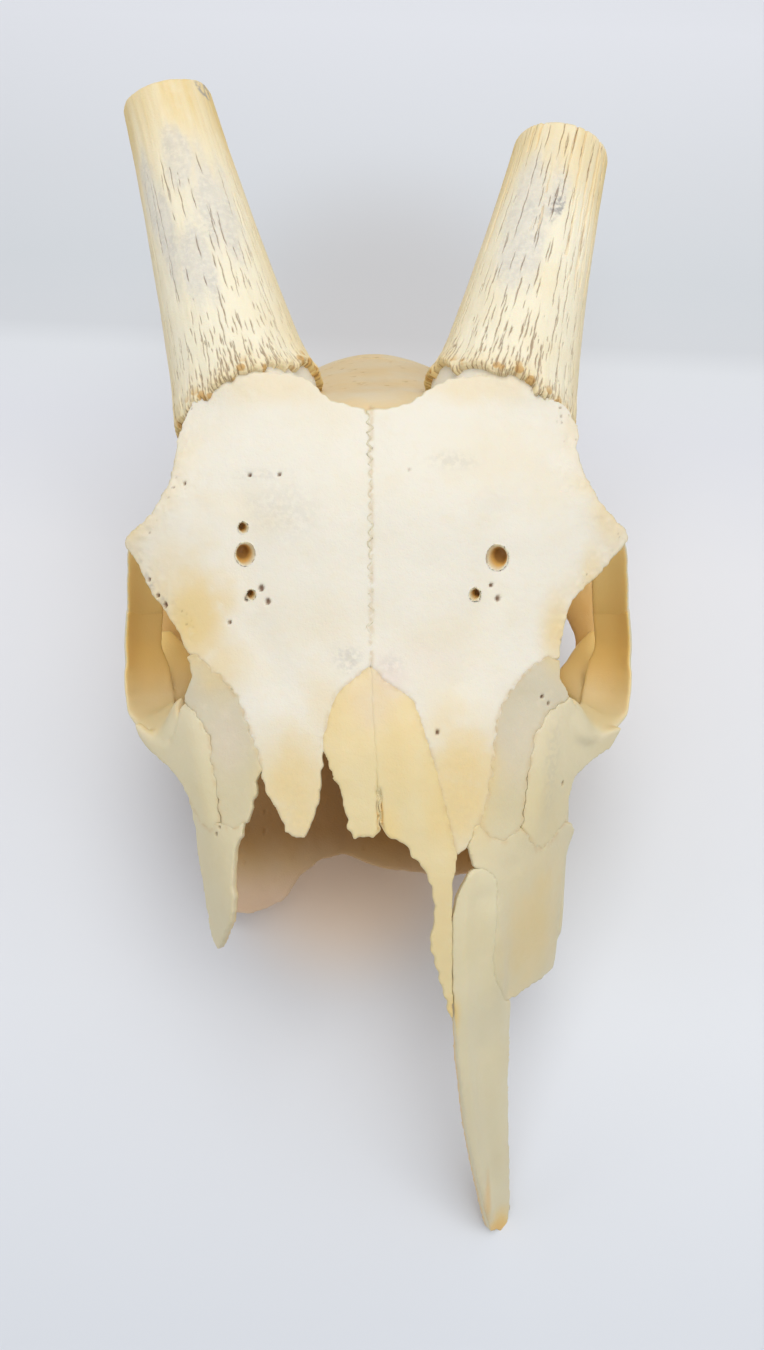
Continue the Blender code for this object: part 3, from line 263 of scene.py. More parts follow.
# Straps of bone on the skull's left, and the palate across it: centre, half the breadth, half
# the thickness.
POSTORBITAL_BAR = (
    ((72, 40.5, -9), (-4, -1, -1), 2.0),
    ((75.5, 37.5, -17), (-4.5, -1, -3), 2.4),
    ((77.5, 34, -25), (-4.5, -1.5, -5), 2.6),
    ((78.5, 30.5, -31), (-5, -1.5, -5.5), 2.8),
    ((80, 25.5, -38), (-5, -0.5, -5), 2.8),
    ((81.4, 20.8, -44.2), (-5, 0.5, -5), 2.8),
)
ORBITAL_RIM = (
    ((80.9, 22.5, -42), (-5, 0.5, -5), 2.6),
    ((83, 11, -49.5), (-5, 1, -5.5), 2.6),
    ((82, 3, -52), (-6.5, 1, -6), 2.6),
    ((81, -4, -51.5), (-7, 2, -5.5), 2.6),
    ((79, -10, -47), (-6.5, 3.5, -6), 2.6),
    ((75.5, -13.5, -38.5), (-4, 5.5, -6.5), 2.6),
    ((71.5, -15.5, -31), (-3, 5.5, -5), 2.6),
    ((67.5, -17, -23), (-2, 6, -3), 2.6),
    ((64, -16, -17.5), (-1, 6.5, -1.5), 2.4),
    ((60.5, -14, -14), (0, 6, -0.5), 2.0),
)
JUGAL_ARCH = (
    ((80.5, -13, -49.5), (-3, 0.8, -2), 2.2),
    ((76, -7, -58), (-5.5, 1, -1.5), 3.2),
    ((75, 1, -66.5), (-8, 1, -1.5), 3.6),
    ((78, 8, -72), (-7, -0.5, -1), 3.6),
    ((81, 14.5, -75.5), (-5.5, -1, -1), 3.2),
    ((83.5, 19.5, -77), (-3.5, -1, 0), 2.6),
)
TEMPORAL_ARCH = (
    ((81.5, 11, -82), (-5, 1.5, -0.5), 2.6),
    ((82, 15, -82), (-5.5, 0.5, -1), 3.0),
    ((82, 20, -82), (-5.5, -2.5, -1.5), 3.3),
    ((81.5, 27, -83), (-6.5, -4, -2.5), 3.4),
    ((79, 36, -84), (-7.5, -4, -3.5), 3.4),
    ((75, 48, -84.5), (-6, -2, -5), 3.4),
    ((67, 62, -86), (0, 0, -7.5), 4.0),
    ((54, 73, -93), (6, 0, -7), 7.0),
    ((38, 78, -97), (8, 0, -7), 9.0),
)
TOOTH_ROW = (
    ((56.5, -99, -54), (2, 0, 7), 3.5),
    ((56.5, -88, -61), (3, 0, 17), 5.5),
    ((55.5, -66, -63), (4, 0, 24), 7.5),
    ((54, -40, -62), (6, 0, 27), 9.0),
    ((50, -14, -62), (8, 0, 28), 10.0),
    ((45, 0, -68), (4, 0, 20), 8.0),
)
TOOTH_SOCKETS = ((-90, 3.2, 3.6), (-79, 3.8, 4.6), (-67, 4.4, 5.4), (-52, 5.8, 6.4),
                 (-35, 6.2, 7.4), (-17, 6.2, 7.0))      # s, half-breadth, half-length
SOCKET_PROFILE = ((-6, 1.0), (2, 0.95), (6, 0.8), (9, 0.5))    # height, share of its size
PAROCCIPITAL = (
    ((33, 102, -118), (12, 0, 6), 5.5),
    ((35, 99, -132), (9.5, 1, 3), 5.0),
    ((37, 96, -146), (7, 2, 1), 4.0),
    ((38, 93.5, -157), (5, 1, 1), 3.4),
    ((38, 91, -166), (3, 0, 0), 2.8),
)
PALATINE = (
    ((44.5, -34, -80), (0, 32, 0), 1.5),
    ((30, -33.5, -77), (0, 36.5, 0), 1.5),
    ((10, -30, -74.5), (0, 38, 0), 1.5),
    ((-10, -27.5, -74.5), (0, 34.5, 0), 1.5),
    ((-26, -31, -77), (0, 36, 0), 1.5),
    ((-38, -38, -80), (0, 40, 0), 1.5),
    ((-46, -44, -82), (0, 42, 0), 1.5),
    ((-51, -46, -83), (0, 38, 0), 1.5),
    ((-55, -45, -84), (0, 29, 0), 1.5),
)
PTERYGOID = (
    ((16, 36, -88), (0, 11, -3), 3.0),
    ((15, 31, -100), (0, 9, -2), 2.2),
    ((14, 25, -112), (0, 5, -1), 1.6),
)
RIGHT_ORBIT = 0.955    # the right orbit stands a little nearer to the midline
RIGHT_ARCH = 0.935     # and so does the right cheek arch
ORBIT_CENTRE = (60.0, 14.0, -30.0)
SCOOP = 4.2            # how far the inner face of the orbit's rim is hollowed
# Places of a jugal that are softened: where the hollow runs out on the face, and the corner
# below the orbit. Each is its centre, its reach and how many times.
SOFT_PLACES = (((67.0, -14.0, -22.0), 16.0, 90), ((80.5, -18.0, -37.0), 10.0, 70))

# Stains on the skin of the face: mask, s, v, radii along and across, strength.
STAINS = (
    ("yellow", 15, -53, 17, 11, 0.8), ("yellow", -2, -46, 10, 8, 0.45),
    ("yellow", 26, -62, 12, 7, 0.35), ("yellow", 8, 56, 13, 5, 0.5),
    ("yellow", 28, 68, 9, 4, 0.35), ("yellow", -38, -22, 20, 11, 0.65),
    ("yellow", -36, 27, 20, 11, 0.75), ("grey", -42, 27, 14, 6, 0.06),
    ("yellow", -20, 22, 10, 6, 0.35), ("yellow", -14, -14, 12, 6, 0.3),
    ("yellow", 45, -74, 8, 6, 0.35), ("yellow", 44, 74, 8, 6, 0.35),
    ("yellow", -104, 24, 7, 2.5, 0.9), ("yellow", -50, 5, 8, 4, 0.6),
    ("yellow", -80, 60, 22, 16, 0.5), ("yellow", 84, -30, 6, 18, 0.35),
    ("yellow", 84, 34, 6, 18, 0.35), ("yellow", -187, 48, 9, 7, 1.0),
    ("pink", -4, 5, 7, 6, 0.6), ("pink", -12, 0, 9, 7, 0.35), ("pink", -24, -43, 9, 6, 0.25),
    ("pink", -26, 42, 12, 8, 0.15), ("pink", 1, 18, 6, 10, 0.2),
    ("grey", -44, -22, 14, 7, 0.07), ("grey", 1, -7, 4.5, 4.5, 0.35),
    ("grey", -1, 6, 4, 5, 0.2), ("grey", 56, -32, 2, 9, 0.2),
    ("grey", 45, -26, 9, 10, 0.16), ("grey", -30, 56, 16, 4, 0.18),
    ("grey", 24, -68, 1.8, 1.5, 0.5), ("grey", 19, -64, 2.2, 1.5, 0.5),
    ("grey", 27, -70, 1.2, 1.0, 0.4), ("grey", 32, -72, 1.0, 0.9, 0.4),
    ("grey", 60, 24, 3, 8, 0.2), ("tan", -188, 47, 5, 5, 0.8), ("tan", -172, 40, 10, 1.6, 0.5),
    ("tan", -46, 2.8, 4.5, 0.7, 1.0), ("yellow", -30, 8, 14, 6, 0.3),
)

# Low ridges, and furrows where the height is below zero: height, half-width and path in (s, v).
RIDGES = (
    (0.7, 2.2, ((-62, 28.5), (-80, 27), (-110, 28.5), (-150, 34), (-180, 42))),
    (-0.9, 4.0, ((-70, 33), (-100, 34), (-135, 37), (-165, 43))),
    (0.6, 4.0, ((-75, 37), (-105, 46), (-140, 46), (-165, 47.5))),
    (-1.0, 5.0, ((-62, 42), (-78, 44), (-98, 50))),
    (1.0, 7.0, ((-60, 58), (-78, 66), (-92, 72))),
    (-0.8, 6.0, ((-12, 46), (-28, 42), (-44, 40))),
    (0.7, 5.0, ((-20, 54), (-34, 53), (-50, 52))),
    (-0.8, 6.0, ((-12, -46), (-28, -42), (-44, -42))),
    (0.7, 5.0, ((-20, -54), (-34, -52), (-46, -50))),
    (0.8, 5.0, ((60, 62), (50, 67), (40, 77))),
    (0.8, 5.0, ((60, -58), (50, -62), (40, -74))),
    (-0.7, 6.0, ((44, 38), (32, 38), (14, 32), (-6, 26))),
    (-0.7, 6.0, ((46, -38), (32, -38), (14, -36), (-6, -28))),
    (-0.5, 7.0, ((70, 0), (40, 0), (10, 0))),
    (0.5, 4.0, ((-6, 6), (-30, 10), (-48, 13))),
    (0.5, 3.5, ((-8, -6), (-24, -9), (-34, -9))),
    (-0.9, 0.8, ((-38, 2.2), (-52, 3))),
)

# Small blind holes: s, v and radius.
PORES = ((-21, 19.5, 0.7), (12, -42.5, 0.6), (19, -37.5, 0.7), (18, -31, 0.9), (22, -33, 0.9),
         (19, 38, 0.9), (-51, -47.5, 0.5), (-49, -46, 0.45), (-36, 63.5, 0.7), (56, -36.5, 0.5),
         (56, -27.5, 0.45), (54, -56.5, 0.45), (23, 36, 0.6), (-10, 52, 0.5), (-12, 54, 0.45),
         (57, 11.5, 0.35), (21, -66, 0.6), (18, -63.5, 0.8), (26, -69, 0.6), (24, -72, 0.5))

# Smooth scraped places on a horn core: t, angle in degrees, half-length, half-width in degrees.
SCRAPES = {
    "right": ((70, 50, 15, 16), (76, 2, 12, 22), (56, -22, 22, 26), (38, 10, 15, 20),
              (50, 34, 20, 14)),
    "left": ((58, -22, 20, 26), (40, -18, 16, 24), (62, 8, 9, 12)),
}


# Shape of the face

def rise(t):
    """A smooth step from 0 to 1."""
    t = np.clip(t, 0, 1)
    return t * t * (3 - 2 * t)


def monotone(xs, ys, x):
    """A smooth curve through the points (xs, ys) that never overshoots them, at x."""
    h = np.diff(xs)
    d = np.diff(ys) / h
    m = np.zeros(len(xs))
    for i in range(1, len(xs) - 1):
        if d[i - 1] * d[i] > 0:
            w1, w2 = 2 * h[i] + h[i - 1], h[i] + 2 * h[i - 1]
            m[i] = (w1 + w2) / (w1 / d[i - 1] + w2 / d[i])
    m[0], m[-1] = d[0], d[-1]
    i = np.clip(np.searchsorted(xs, x) - 1, 0, len(h) - 1)
    t = (x - xs[i]) / h[i]
    a, b = 2 * t**3 - 3 * t**2, t**3 - t**2
    return ys[i] * (a + 1) + m[i] * h[i] * (b - t**2 + t) - ys[i + 1] * a + m[i + 1] * h[i] * b


def face_table():
    """x and n of the face on a grid of one millimetre in s and in v."""
    stations = np.array(sorted(FACE_STATIONS.values()), float)
    s = np.arange(-225.0, 116.0)
    v = np.arange(0.0, 131.0)[None, :]
    mid, roof, turn, width, wall, under, tuck = (
        monotone(stations[:, 0], stations[:, i], s)[:, None] for i in range(1, 8))
    slope = np.radians(roof * np.clip(v / turn, 0, 1) + (wall - roof) * rise((v - turn) / width)
                       + (tuck - wall) * rise((v - under) / TURN_UNDER))
    start = np.zeros((len(s), 1))
    across, down = np.cos(slope), np.sin(slope)
    x = np.hstack([start, np.cumsum((across[:, 1:] + across[:, :-1]) / 2, axis=1)])
    drop = np.hstack([start, np.cumsum((down[:, 1:] + down[:, :-1]) / 2, axis=1)])
    return s, x, mid - drop


TABLE_S, TABLE_X, TABLE_N = face_table()


def skin(s, v):
    """The point of the face at s and v, before the horns rise from it."""
    s = np.clip(np.asarray(s, float), TABLE_S[0], TABLE_S[-1] - 1e-6)
    v = np.asarray(v, float)
    a = np.clip(np.abs(v), 0, 129.999)
    i, j = (s - TABLE_S[0]).astype(int), a.astype(int)
    p, q = s - TABLE_S[0] - i, a - j

    def read(grid):
        near = grid[i, j] * (1 - q) + grid[i, j + 1] * q
        far = grid[i + 1, j] * (1 - q) + grid[i + 1, j + 1] * q
        return near * (1 - p) + far * p

    return np.stack([np.sign(v) * read(TABLE_X), s, read(TABLE_N)], -1)


def horn_axis(side):
    """Foot, direction, length, and the unit vectors up from the face and outward."""
    foot, end = (np.array(p) for p in HORNS[side][:2])
    length = np.linalg.norm(end - foot)
    along = (end - foot) / length
    up = np.array([0, 0, 1.0]) - along[2] * along
    up /= np.linalg.norm(up)
    out = np.cross(along, up)
    return foot, along, length, up, out * np.sign(out[0] * foot[0])


def round_core(side, t, radius, angle):
    """Points round the axis of a horn core, t along it and at radius and angle about it."""
    foot, along, _, up, out = horn_axis(side)
    return (foot + np.outer(t, along) + np.outer(radius * np.cos(angle), up)
            + np.outer(radius * np.sin(angle), out))


def core_radius(side, t):
    """Radius of the horn core t from its foot, tapering forward into the forehead."""
    _, _, length, _, _ = horn_axis(side)
    foot, end = HORNS[side][2:]
    k = np.clip(t / length, 0, 1)
    core = end + (foot - end) * (1 - k) ** CORE_TAPER
    cap = np.sqrt(np.clip(1 - (np.minimum(t, 0) / PEDICLE_CAP) ** 2, 0, 1))
    return core * cap


def with_pedicles(points):
    """Raises the points of the forehead to blend with the pedicle of each horn."""
    points = points.copy()
    for side in HORNS:
        foot, along, _, _, _ = horn_axis(side)
        near = (points[:, 1] > 55) & (np.sign(foot[0]) * points[:, 0] > 5)
        p = points[near]
        top = p[:, 2].copy()
        for _ in range(6):
            rel = np.stack([p[:, 0], p[:, 1], top], -1) - foot
            t = rel @ along
            radius = core_radius(side, t)
            side_ways = np.linalg.norm(rel[:, :2] - np.outer(t, along[:2]), axis=1)
            height = np.sqrt(np.clip(radius**2 - side_ways**2, 0, None))
            top = np.where(height > 0, foot[2] + t * along[2] + height, FAR_BELOW)
        p[:, 2] = PEDICLE_BLEND * np.logaddexp(p[:, 2] / PEDICLE_BLEND, top / PEDICLE_BLEND)
        points[near] = p
    return points


def face_point(s, v):
    return with_pedicles(skin(np.atleast_1d(s), np.atleast_1d(v)))


def face_normal(s, v):
    """Unit normal of the face, pointing out of it."""
    s, v = np.atleast_1d(s).astype(float), np.atleast_1d(v).astype(float)
    ds = skin(s + 1, v) - skin(s - 1, v)
    dv = skin(s, v + 1) - skin(s, v - 1)
    normal = np.cross(dv, ds)
    return normal / np.linalg.norm(normal, axis=1)[:, None]


# Noise

def hashed(cell, seed):
    """A number from 0 to 1 for each cell of a lattice."""
    x, y, z = (cell[:, i].astype(np.int64).astype(np.uint64) for i in range(3))
    h = (x * np.uint64(374761393) + y * np.uint64(668265263) + z * np.uint64(2246822519)
         + np.uint64(seed * 3266489917 + 97)) & np.uint64(0xFFFFFFFF)
    h = ((h ^ (h >> np.uint64(15))) * np.uint64(2246822519)) & np.uint64(0xFFFFFFFF)
    h = ((h ^ (h >> np.uint64(13))) * np.uint64(3266489917)) & np.uint64(0xFFFFFFFF)
    return ((h ^ (h >> np.uint64(16))) & np.uint64(0xFFFFFF)).astype(float) / 0xFFFFFF


def noise(points, size, seed=0):
    """Smooth noise from 0 to 1 with lumps of about size; size may differ along each axis."""
    q = np.asarray(points, float) / np.asarray(size, float)
    cell = np.floor(q)
    u = rise(q - cell)
    total = np.zeros(len(q))
    for dx in (0, 1):
        for dy in (0, 1):
            for dz in (0, 1):
                weight = (np.where(dx, u[:, 0], 1 - u[:, 0]) * np.where(dy, u[:, 1], 1 - u[:, 1])
                          * np.where(dz, u[:, 2], 1 - u[:, 2]))
                total += weight * hashed(cell + (dx, dy, dz), seed)
    return total


def rough(points, size, seed=0, octaves=3):
    """Noise of several sizes, from -1 to 1."""
    size = np.asarray(size, float)
    layers = [noise(points, size / 2**k, seed + k) * 0.5**k for k in range(octaves)]
    return 2 * sum(layers) / (2 - 0.5 ** (octaves - 1)) - 1


def cells(points, size, seed=0):
    """Distance, as a share of size, to the nearest of a set of scattered points."""
    q = np.asarray(points, float) / size
    cell = np.floor(q)
    nearest = np.full(len(q), 9.0)
    for dx in (-1, 0, 1):
        for dy in (-1, 0, 1):
            for dz in (-1, 0, 1):
                here = cell + (dx, dy, dz)
                spot = here + np.stack([hashed(here, seed + k) for k in range(3)], -1)
                nearest = np.minimum(nearest, np.linalg.norm(q - spot, axis=1))
    return nearest


# Shells: each is its points in the face frame and its faces

def wobble(s, v):
    """A small wandering that every line of the face follows, so that sutures stay shared."""
    return (0.45 * np.sin(0.9 * s + 1.3 * v) + 0.3 * np.sin(1.9 * s - 1.1 * v + 2),
            0.45 * np.sin(1.2 * s - 0.8 * v + 1) + 0.3 * np.sin(0.7 * s + 2.1 * v))


def jagged(s, v):
    """The finer teeth of sutures and broken edges, and the zigzag of the interfrontal suture."""
    place = np.stack([s, v, 0 * s], -1)
    ds = 0.5 * rough(place, 2.2, 11, 2)
    dv = 0.5 * rough(place, 2.2, 17, 2)
    middle = np.exp(-(v / 2.5) ** 2) * rise((s - 1) / 4)
    zigzag = 0.75 * np.arcsin(np.sin(s * 1.9 + 2 * rough(place * (1, 0, 0), 9, 5, 1)))
    return ds, dv + middle * (zigzag + 0.9 * rough(place * (1, 0, 0), 5, 3, 2))


def outline(names):
    """The closed outline of a plate in (s, v)."""
    ring = []
    for name in names:
        line = LINES[name.lstrip("-")]
        line = line[::-1] if name[0] == "-" else line
        if ring and np.hypot(*np.subtract(line[0], ring[-1][:2])) > np.hypot(
                *np.subtract(line[-1], ring[-1][:2])):
            line = line[::-1]
        style = next(style for word, style in LINE_STYLES.items() if word in name)
        ring += [(*point, *style) for point in (line if not ring else line[1:])]
    ring = np.array(ring[:-1], float)
    points = []
    for a, b in zip(ring, np.roll(ring, -1, axis=0)):
        pieces = max(1, round(np.hypot(*(b - a)[:2]) / EDGE))
        points += [a + (b - a) * k / pieces for k in range(pieces)]
    points = np.array(points)
    points, (wander, teeth, reach) = points[:, :2], points[:, 2:].T
    points = points + 0.25 * (np.roll(points, 3, axis=0) + np.roll(points, -3, axis=0)
                              - 2 * points)
    ds, dv = wobble(points[:, 0], points[:, 1])
    js, jv = jagged(points[:, 0], points[:, 1])
    off_middle = np.clip(np.abs(points[:, 1]) / 3, 0, 1)
    points = points + np.stack([wander * ds * off_middle + teeth * js,
                                wander * dv * off_middle + teeth * jv], -1)
    area = np.sum(points[:, 0] * np.roll(points[:, 1], -1)
                  - points[:, 1] * np.roll(points[:, 0], -1))
    if area < 0:
        points = points[::-1]
    before = points - np.roll(points, 1, axis=0)
    after = np.roll(points, -1, axis=0) - points
    inward = sum(np.stack([-d[:, 1], d[:, 0]], -1) / np.hypot(*d.T)[:, None]
                 for d in (before, after))
    size = np.clip(np.sum(inward**2, axis=1), 1.0, 4)
    return points - inward * (2 * reach / size)[:, None]


def inside(points, ring):
    """Which points lie inside the closed ring."""
    found = np.zeros(len(points), bool)
    for a, b in zip(ring, np.roll(ring, -1, axis=0)):
        if a[1] != b[1]:
            crosses = (a[1] > points[:, 1]) != (b[1] > points[:, 1])
            at = a[0] + (points[:, 1] - a[1]) * (b[0] - a[0]) / (b[1] - a[1])
            found ^= crosses & (points[:, 0] < at)
    return found


def plate(lines, front_thickness, rear_thickness):
    """A plate of bone that follows the face within its outline."""
    ring = outline(lines)
    low, high = ring.min(axis=0), ring.max(axis=0)
    s, v = np.meshgrid(np.arange(low[0] + GRID / 2, high[0], GRID),
                       np.arange(low[1] + GRID / 2, high[1], GRID), indexing="ij")
    filling = np.stack([s.ravel(), v.ravel()], -1)
    filling = filling[inside(filling, ring)]
    clear = np.array([np.min(np.hypot(*(ring - p).T)) > EDGE for p in filling], bool)
    flat = np.vstack([ring, filling[clear]])
    found = geometry.delaunay_2d_cdt([Vector(p) for p in flat], [],
                                     [list(range(len(ring)))], 1, 1e-4)
    flat = np.array([tuple(p) for p in found[0]])
    triangles = [list(t) for t in found[2]]
    centre = flat[np.array(triangles)].mean(axis=1)
    triangles = [t for t, kept in zip(triangles, inside(centre, ring)) if kept]
    top = face_point(flat[:, 0], flat[:, 1])
    depth = front_thickness + (rear_thickness - front_thickness) * rise((flat[:, 0] + 25) / 30)
    foot = top - face_normal(flat[:, 0], flat[:, 1]) * depth[:, None]
    count = len(flat)
    edges = {(a, b) for t in triangles for a, b in zip(t, t[1:] + t[:1])}
    rim = sorted((a, b) for a, b in edges if (b, a) not in edges)
    faces = triangles + [[count + i for i in reversed(t)] for t in triangles]
    faces += [[b, a, count + a, count + b] for a, b in rim]
    return np.vstack([top, foot]), faces


def loft(rings):
    """A closed shell through rings of equal length, each end closed by a fan."""
    rings = [np.asarray(ring, float) for ring in rings]
    n = len(rings[0])
    points = np.vstack(rings + [rings[0].mean(axis=0), rings[-1].mean(axis=0)])
    faces = []
    for k in range(len(rings) - 1):
        a = k * n
        faces += [[a + i, a + (i + 1) % n, a + n + (i + 1) % n, a + n + i] for i in range(n)]
    last = (len(rings) - 1) * n
    tip = len(points) - 2
    faces += [[tip, (i + 1) % n, i] for i in range(n)]
    faces += [[tip + 1, last + i, last + (i + 1) % n] for i in range(n)]
    return points, faces


def finer(stations, count):
    """The same strap with more stations, curved smoothly between the given ones."""
    rows = np.array([[*c, *b, t] for c, b, t in stations], float)
    at = np.arange(len(rows), dtype=float)
    where = np.linspace(0, len(rows) - 1, count)
    columns = [monotone(at, rows[:, i], where) for i in range(7)]
    return [(row[:3], row[3:6], row[6]) for row in np.stack(columns, -1)]


def band(stations, count=36, facing=None, hollow=0.0, square=1.0):
    """A strap of bone: each station is its centre, half its breadth and half its thickness.

    The face towards the point facing is hollowed, and square below 1 makes the strap a slab.
    """
    stations = finer(stations, count)
    heading = np.gradient(np.array([s[0] for s in stations]), axis=0)
    angles = np.arange(ROUND) * math.tau / ROUND
    wide = np.sign(np.cos(angles)) * np.abs(np.cos(angles)) ** square
    thick = np.sign(np.sin(angles)) * np.abs(np.sin(angles)) ** square
    rings = []
    for (centre, breadth, thickness), ahead in zip(stations, heading):
        ahead = ahead / np.linalg.norm(ahead)
        breadth = breadth - 0.8 * (breadth @ ahead) * ahead
        across = np.cross(ahead, breadth)
        across /= np.linalg.norm(across)
        ring = centre + np.outer(wide, breadth) + np.outer(thick, across * thickness)
        if facing is not None:
            toward = np.array(facing) - centre
            toward /= np.linalg.norm(toward)
            ring -= np.outer(np.sin(angles) ** 2, across * (across @ toward) * hollow)
        rings.append(ring)
    return loft(rings)


def mirrored(stations, scale=1.0):
    """The same strap on the skull's right, drawn in or out by scale."""
    return [((-c[0] * scale, *c[1:]), (-b[0], *b[1:]), t) for c, b, t in stations]


def egg(centre, radii, tilt=0.0):
    """An ellipsoid with radii across, along and up, tilted in the (s, n) plane."""
    made = bmesh.new()
    bmesh.ops.create_icosphere(made, subdivisions=5, radius=1.0)
    made.verts.ensure_lookup_table()
    points = np.array([vert.co[:] for vert in made.verts]) * radii
    faces = [[vert.index for vert in face.verts] for face in made.faces]
    made.free()
    c, s = math.cos(tilt), math.sin(tilt)
    turned = np.stack([points[:, 0], c * points[:, 1] - s * points[:, 2],
                       s * points[:, 1] + c * points[:, 2]], -1)
    return turned + np.array(centre, float), faces


def swelling(shape, sign, more=0.0):
    """An egg on one side of the skull, its radii grown by more."""
    (x, s, n), radii = shape
    return egg((x * sign, s, n), [radius + more for radius in radii])


def prism(profile, x0, x1):
    """A shell that fills a polygon in (s, n) from x0 to x1."""
    n = len(profile)
    points = [(x, s, h) for x in (x0, x1) for s, h in profile]
    faces = [list(range(n)), list(range(n, 2 * n))]
    faces += [[i, (i + 1) % n, n + (i + 1) % n, n + i] for i in range(n)]
    return np.array(points, float), faces


def beyond(cut, far, near=-GAP / 2):
    """A long quadrilateral in (s, n) from near to far off a cut, on the side far's sign says."""
    a, b = (np.array(p) for p in cut)
    along = (b - a) / np.linalg.norm(b - a)
    side = np.array([-along[1], along[0]]) * math.copysign(1, far)
    a, b = a - 60 * along, b + 60 * along
    return [tuple(p) for p in (a + near * side, b + near * side, b + abs(far) * side,
                               a + abs(far) * side)]


def block(cut, far):
    """All of the braincase on one side of a cut, and half a gap over it."""
    return prism(beyond(cut, far), -BLOCK_HALF_WIDTH, BLOCK_HALF_WIDTH)


def quadrant(cut, other):
    """The region behind one cut and above the other, in (s, n), grown by half a gap."""
    (a, b), (c, d) = (tuple(np.array(p) for p in line) for line in (cut, other))
    down, back = ((e - a) / np.linalg.norm(e - a) for e, a in ((b, a), (d, c)))
    share = np.linalg.solve(np.stack([down, -back], -1), c - a)
    corner = a + share[0] * down
    behind, above = np.array([-down[1], down[0]]), np.array([-back[1], back[0]])
    corner = corner - GAP / 2 * (behind + above)
    return [tuple(p) for p in (corner, corner + 200 * back, corner + 200 * back + 200 * above,
                               corner - 200 * down)]


# Bodies

def body(name, shells):
    """An object from overlapping shells, each with its faces turned outward."""
    points, faces, count = [], [], 0
    for shell_points, shell_faces in shells:
        points.append(shell_points)
        faces += [[count + i for i in face] for face in shell_faces]
        count += len(shell_points)
    mesh = bpy.data.meshes.new(name)
    mesh.from_pydata((np.vstack(points) * MM).tolist(), [], faces)
    made = bmesh.new()
    made.from_mesh(mesh)
    bmesh.ops.recalc_face_normals(made, faces=made.faces)
    made.to_mesh(mesh)
    made.free()
    obj = bpy.data.objects.new(name, mesh)
    bpy.context.collection.objects.link(obj)
    return obj


def cut(obj, other):
    step = obj.modifiers.new(f"cut {other.name}", "BOOLEAN")
    step.operation = "DIFFERENCE"
    step.object = other
    step.solver = "MANIFOLD"


def skin_over(obj, voxel):
    """Joins the object's overlapping shells under one even skin."""
    step = obj.modifiers.new("one skin", "REMESH")
    step.mode = "VOXEL"
    step.voxel_size = voxel * MM


def soften(obj, times, factor=0.5):
    step = obj.modifiers.new("soften", "SMOOTH")
    step.iterations = times
    step.factor = factor


def islands(mesh):
    """A number for each vertex, the same for all that hang together."""
    ends = np.empty(2 * len(mesh.edges), np.int32)
    mesh.edges.foreach_get("vertices", ends)
    a, b = ends[::2], ends[1::2]
    label = np.arange(len(mesh.vertices))
    while True:
        low = np.minimum(label[a], label[b])
        new = label.copy()
        np.minimum.at(new, a, low)
        np.minimum.at(new, b, low)
        new = new[new]
        if (new == label).all():
            return label
        label = new


def settle(obj):
    """Applies the modifiers and keeps the largest piece."""
    bpy.context.view_layer.update()
    graph = bpy.context.evaluated_depsgraph_get()
    mesh = bpy.data.meshes.new_from_object(obj.evaluated_get(graph))
    label = islands(mesh)
    values, counts = np.unique(label, return_counts=True)
    if len(values) > 1:
        crumbs = label != values[np.argmax(counts)]
        made = bmesh.new()
        made.from_mesh(mesh)
        made.verts.ensure_lookup_table()
        bmesh.ops.delete(made, geom=[made.verts[i] for i in np.flatnonzero(crumbs)],
                         context="VERTS")
        made.to_mesh(mesh)
        made.free()
    obj.modifiers.clear()
    obj.data = mesh


def shell_of(obj):
    """The points and faces of an object, to be joined with others."""
    points = read_points(obj)
    return points, [list(face.vertices) for face in obj.data.polygons]


def read_points(obj):
    points = np.empty(3 * len(obj.data.vertices), np.float32)
    obj.data.vertices.foreach_get("co", points)
    return points.reshape(-1, 3).astype(float) / MM


def write_points(obj, points):
    obj.data.vertices.foreach_set("co", (points * MM).astype(np.float32).ravel())
    obj.data.update()


def read_normals(obj):
    normals = np.empty(3 * len(obj.data.vertices), np.float32)
    obj.data.vertex_normals.foreach_get("vector", normals)
    return normals.reshape(-1, 3).astype(float)


def grown(obj, by=0.2):
    """A copy a little larger, to cut room from a neighbour."""
    copy = obj.copy()
    copy.data = obj.data.copy()
    copy.name = f"room for {obj.name}"
    bpy.context.collection.objects.link(copy)
    step = copy.modifiers.new("grow", "DISPLACE")
    step.strength = by * MM
    step.mid_level = 0.0
    return copy


def scrap(objects):
    for obj in objects:
        bpy.data.objects.remove(obj)


# Relief and masks

def mark(obj, **masks):
    """Stores masks from 0 to 1 on the vertices for the material to read."""
    for name in ("side", "yellow", "tan", "orbit_tan_and_light", "grey", "pink", "pit", "line"):
        values = np.clip(masks.get(name, np.zeros(len(obj.data.vertices))), 0, 1)
        layer = obj.data.attributes.new(name, "FLOAT", "POINT")
        layer.data.foreach_set("value", values.astype(np.float32))


# The stretch of the face, in s and in v, where places on its skin are looked up.
SKIN_SPAN = ((-200.0, 96.0), (-100.0, 100.5))


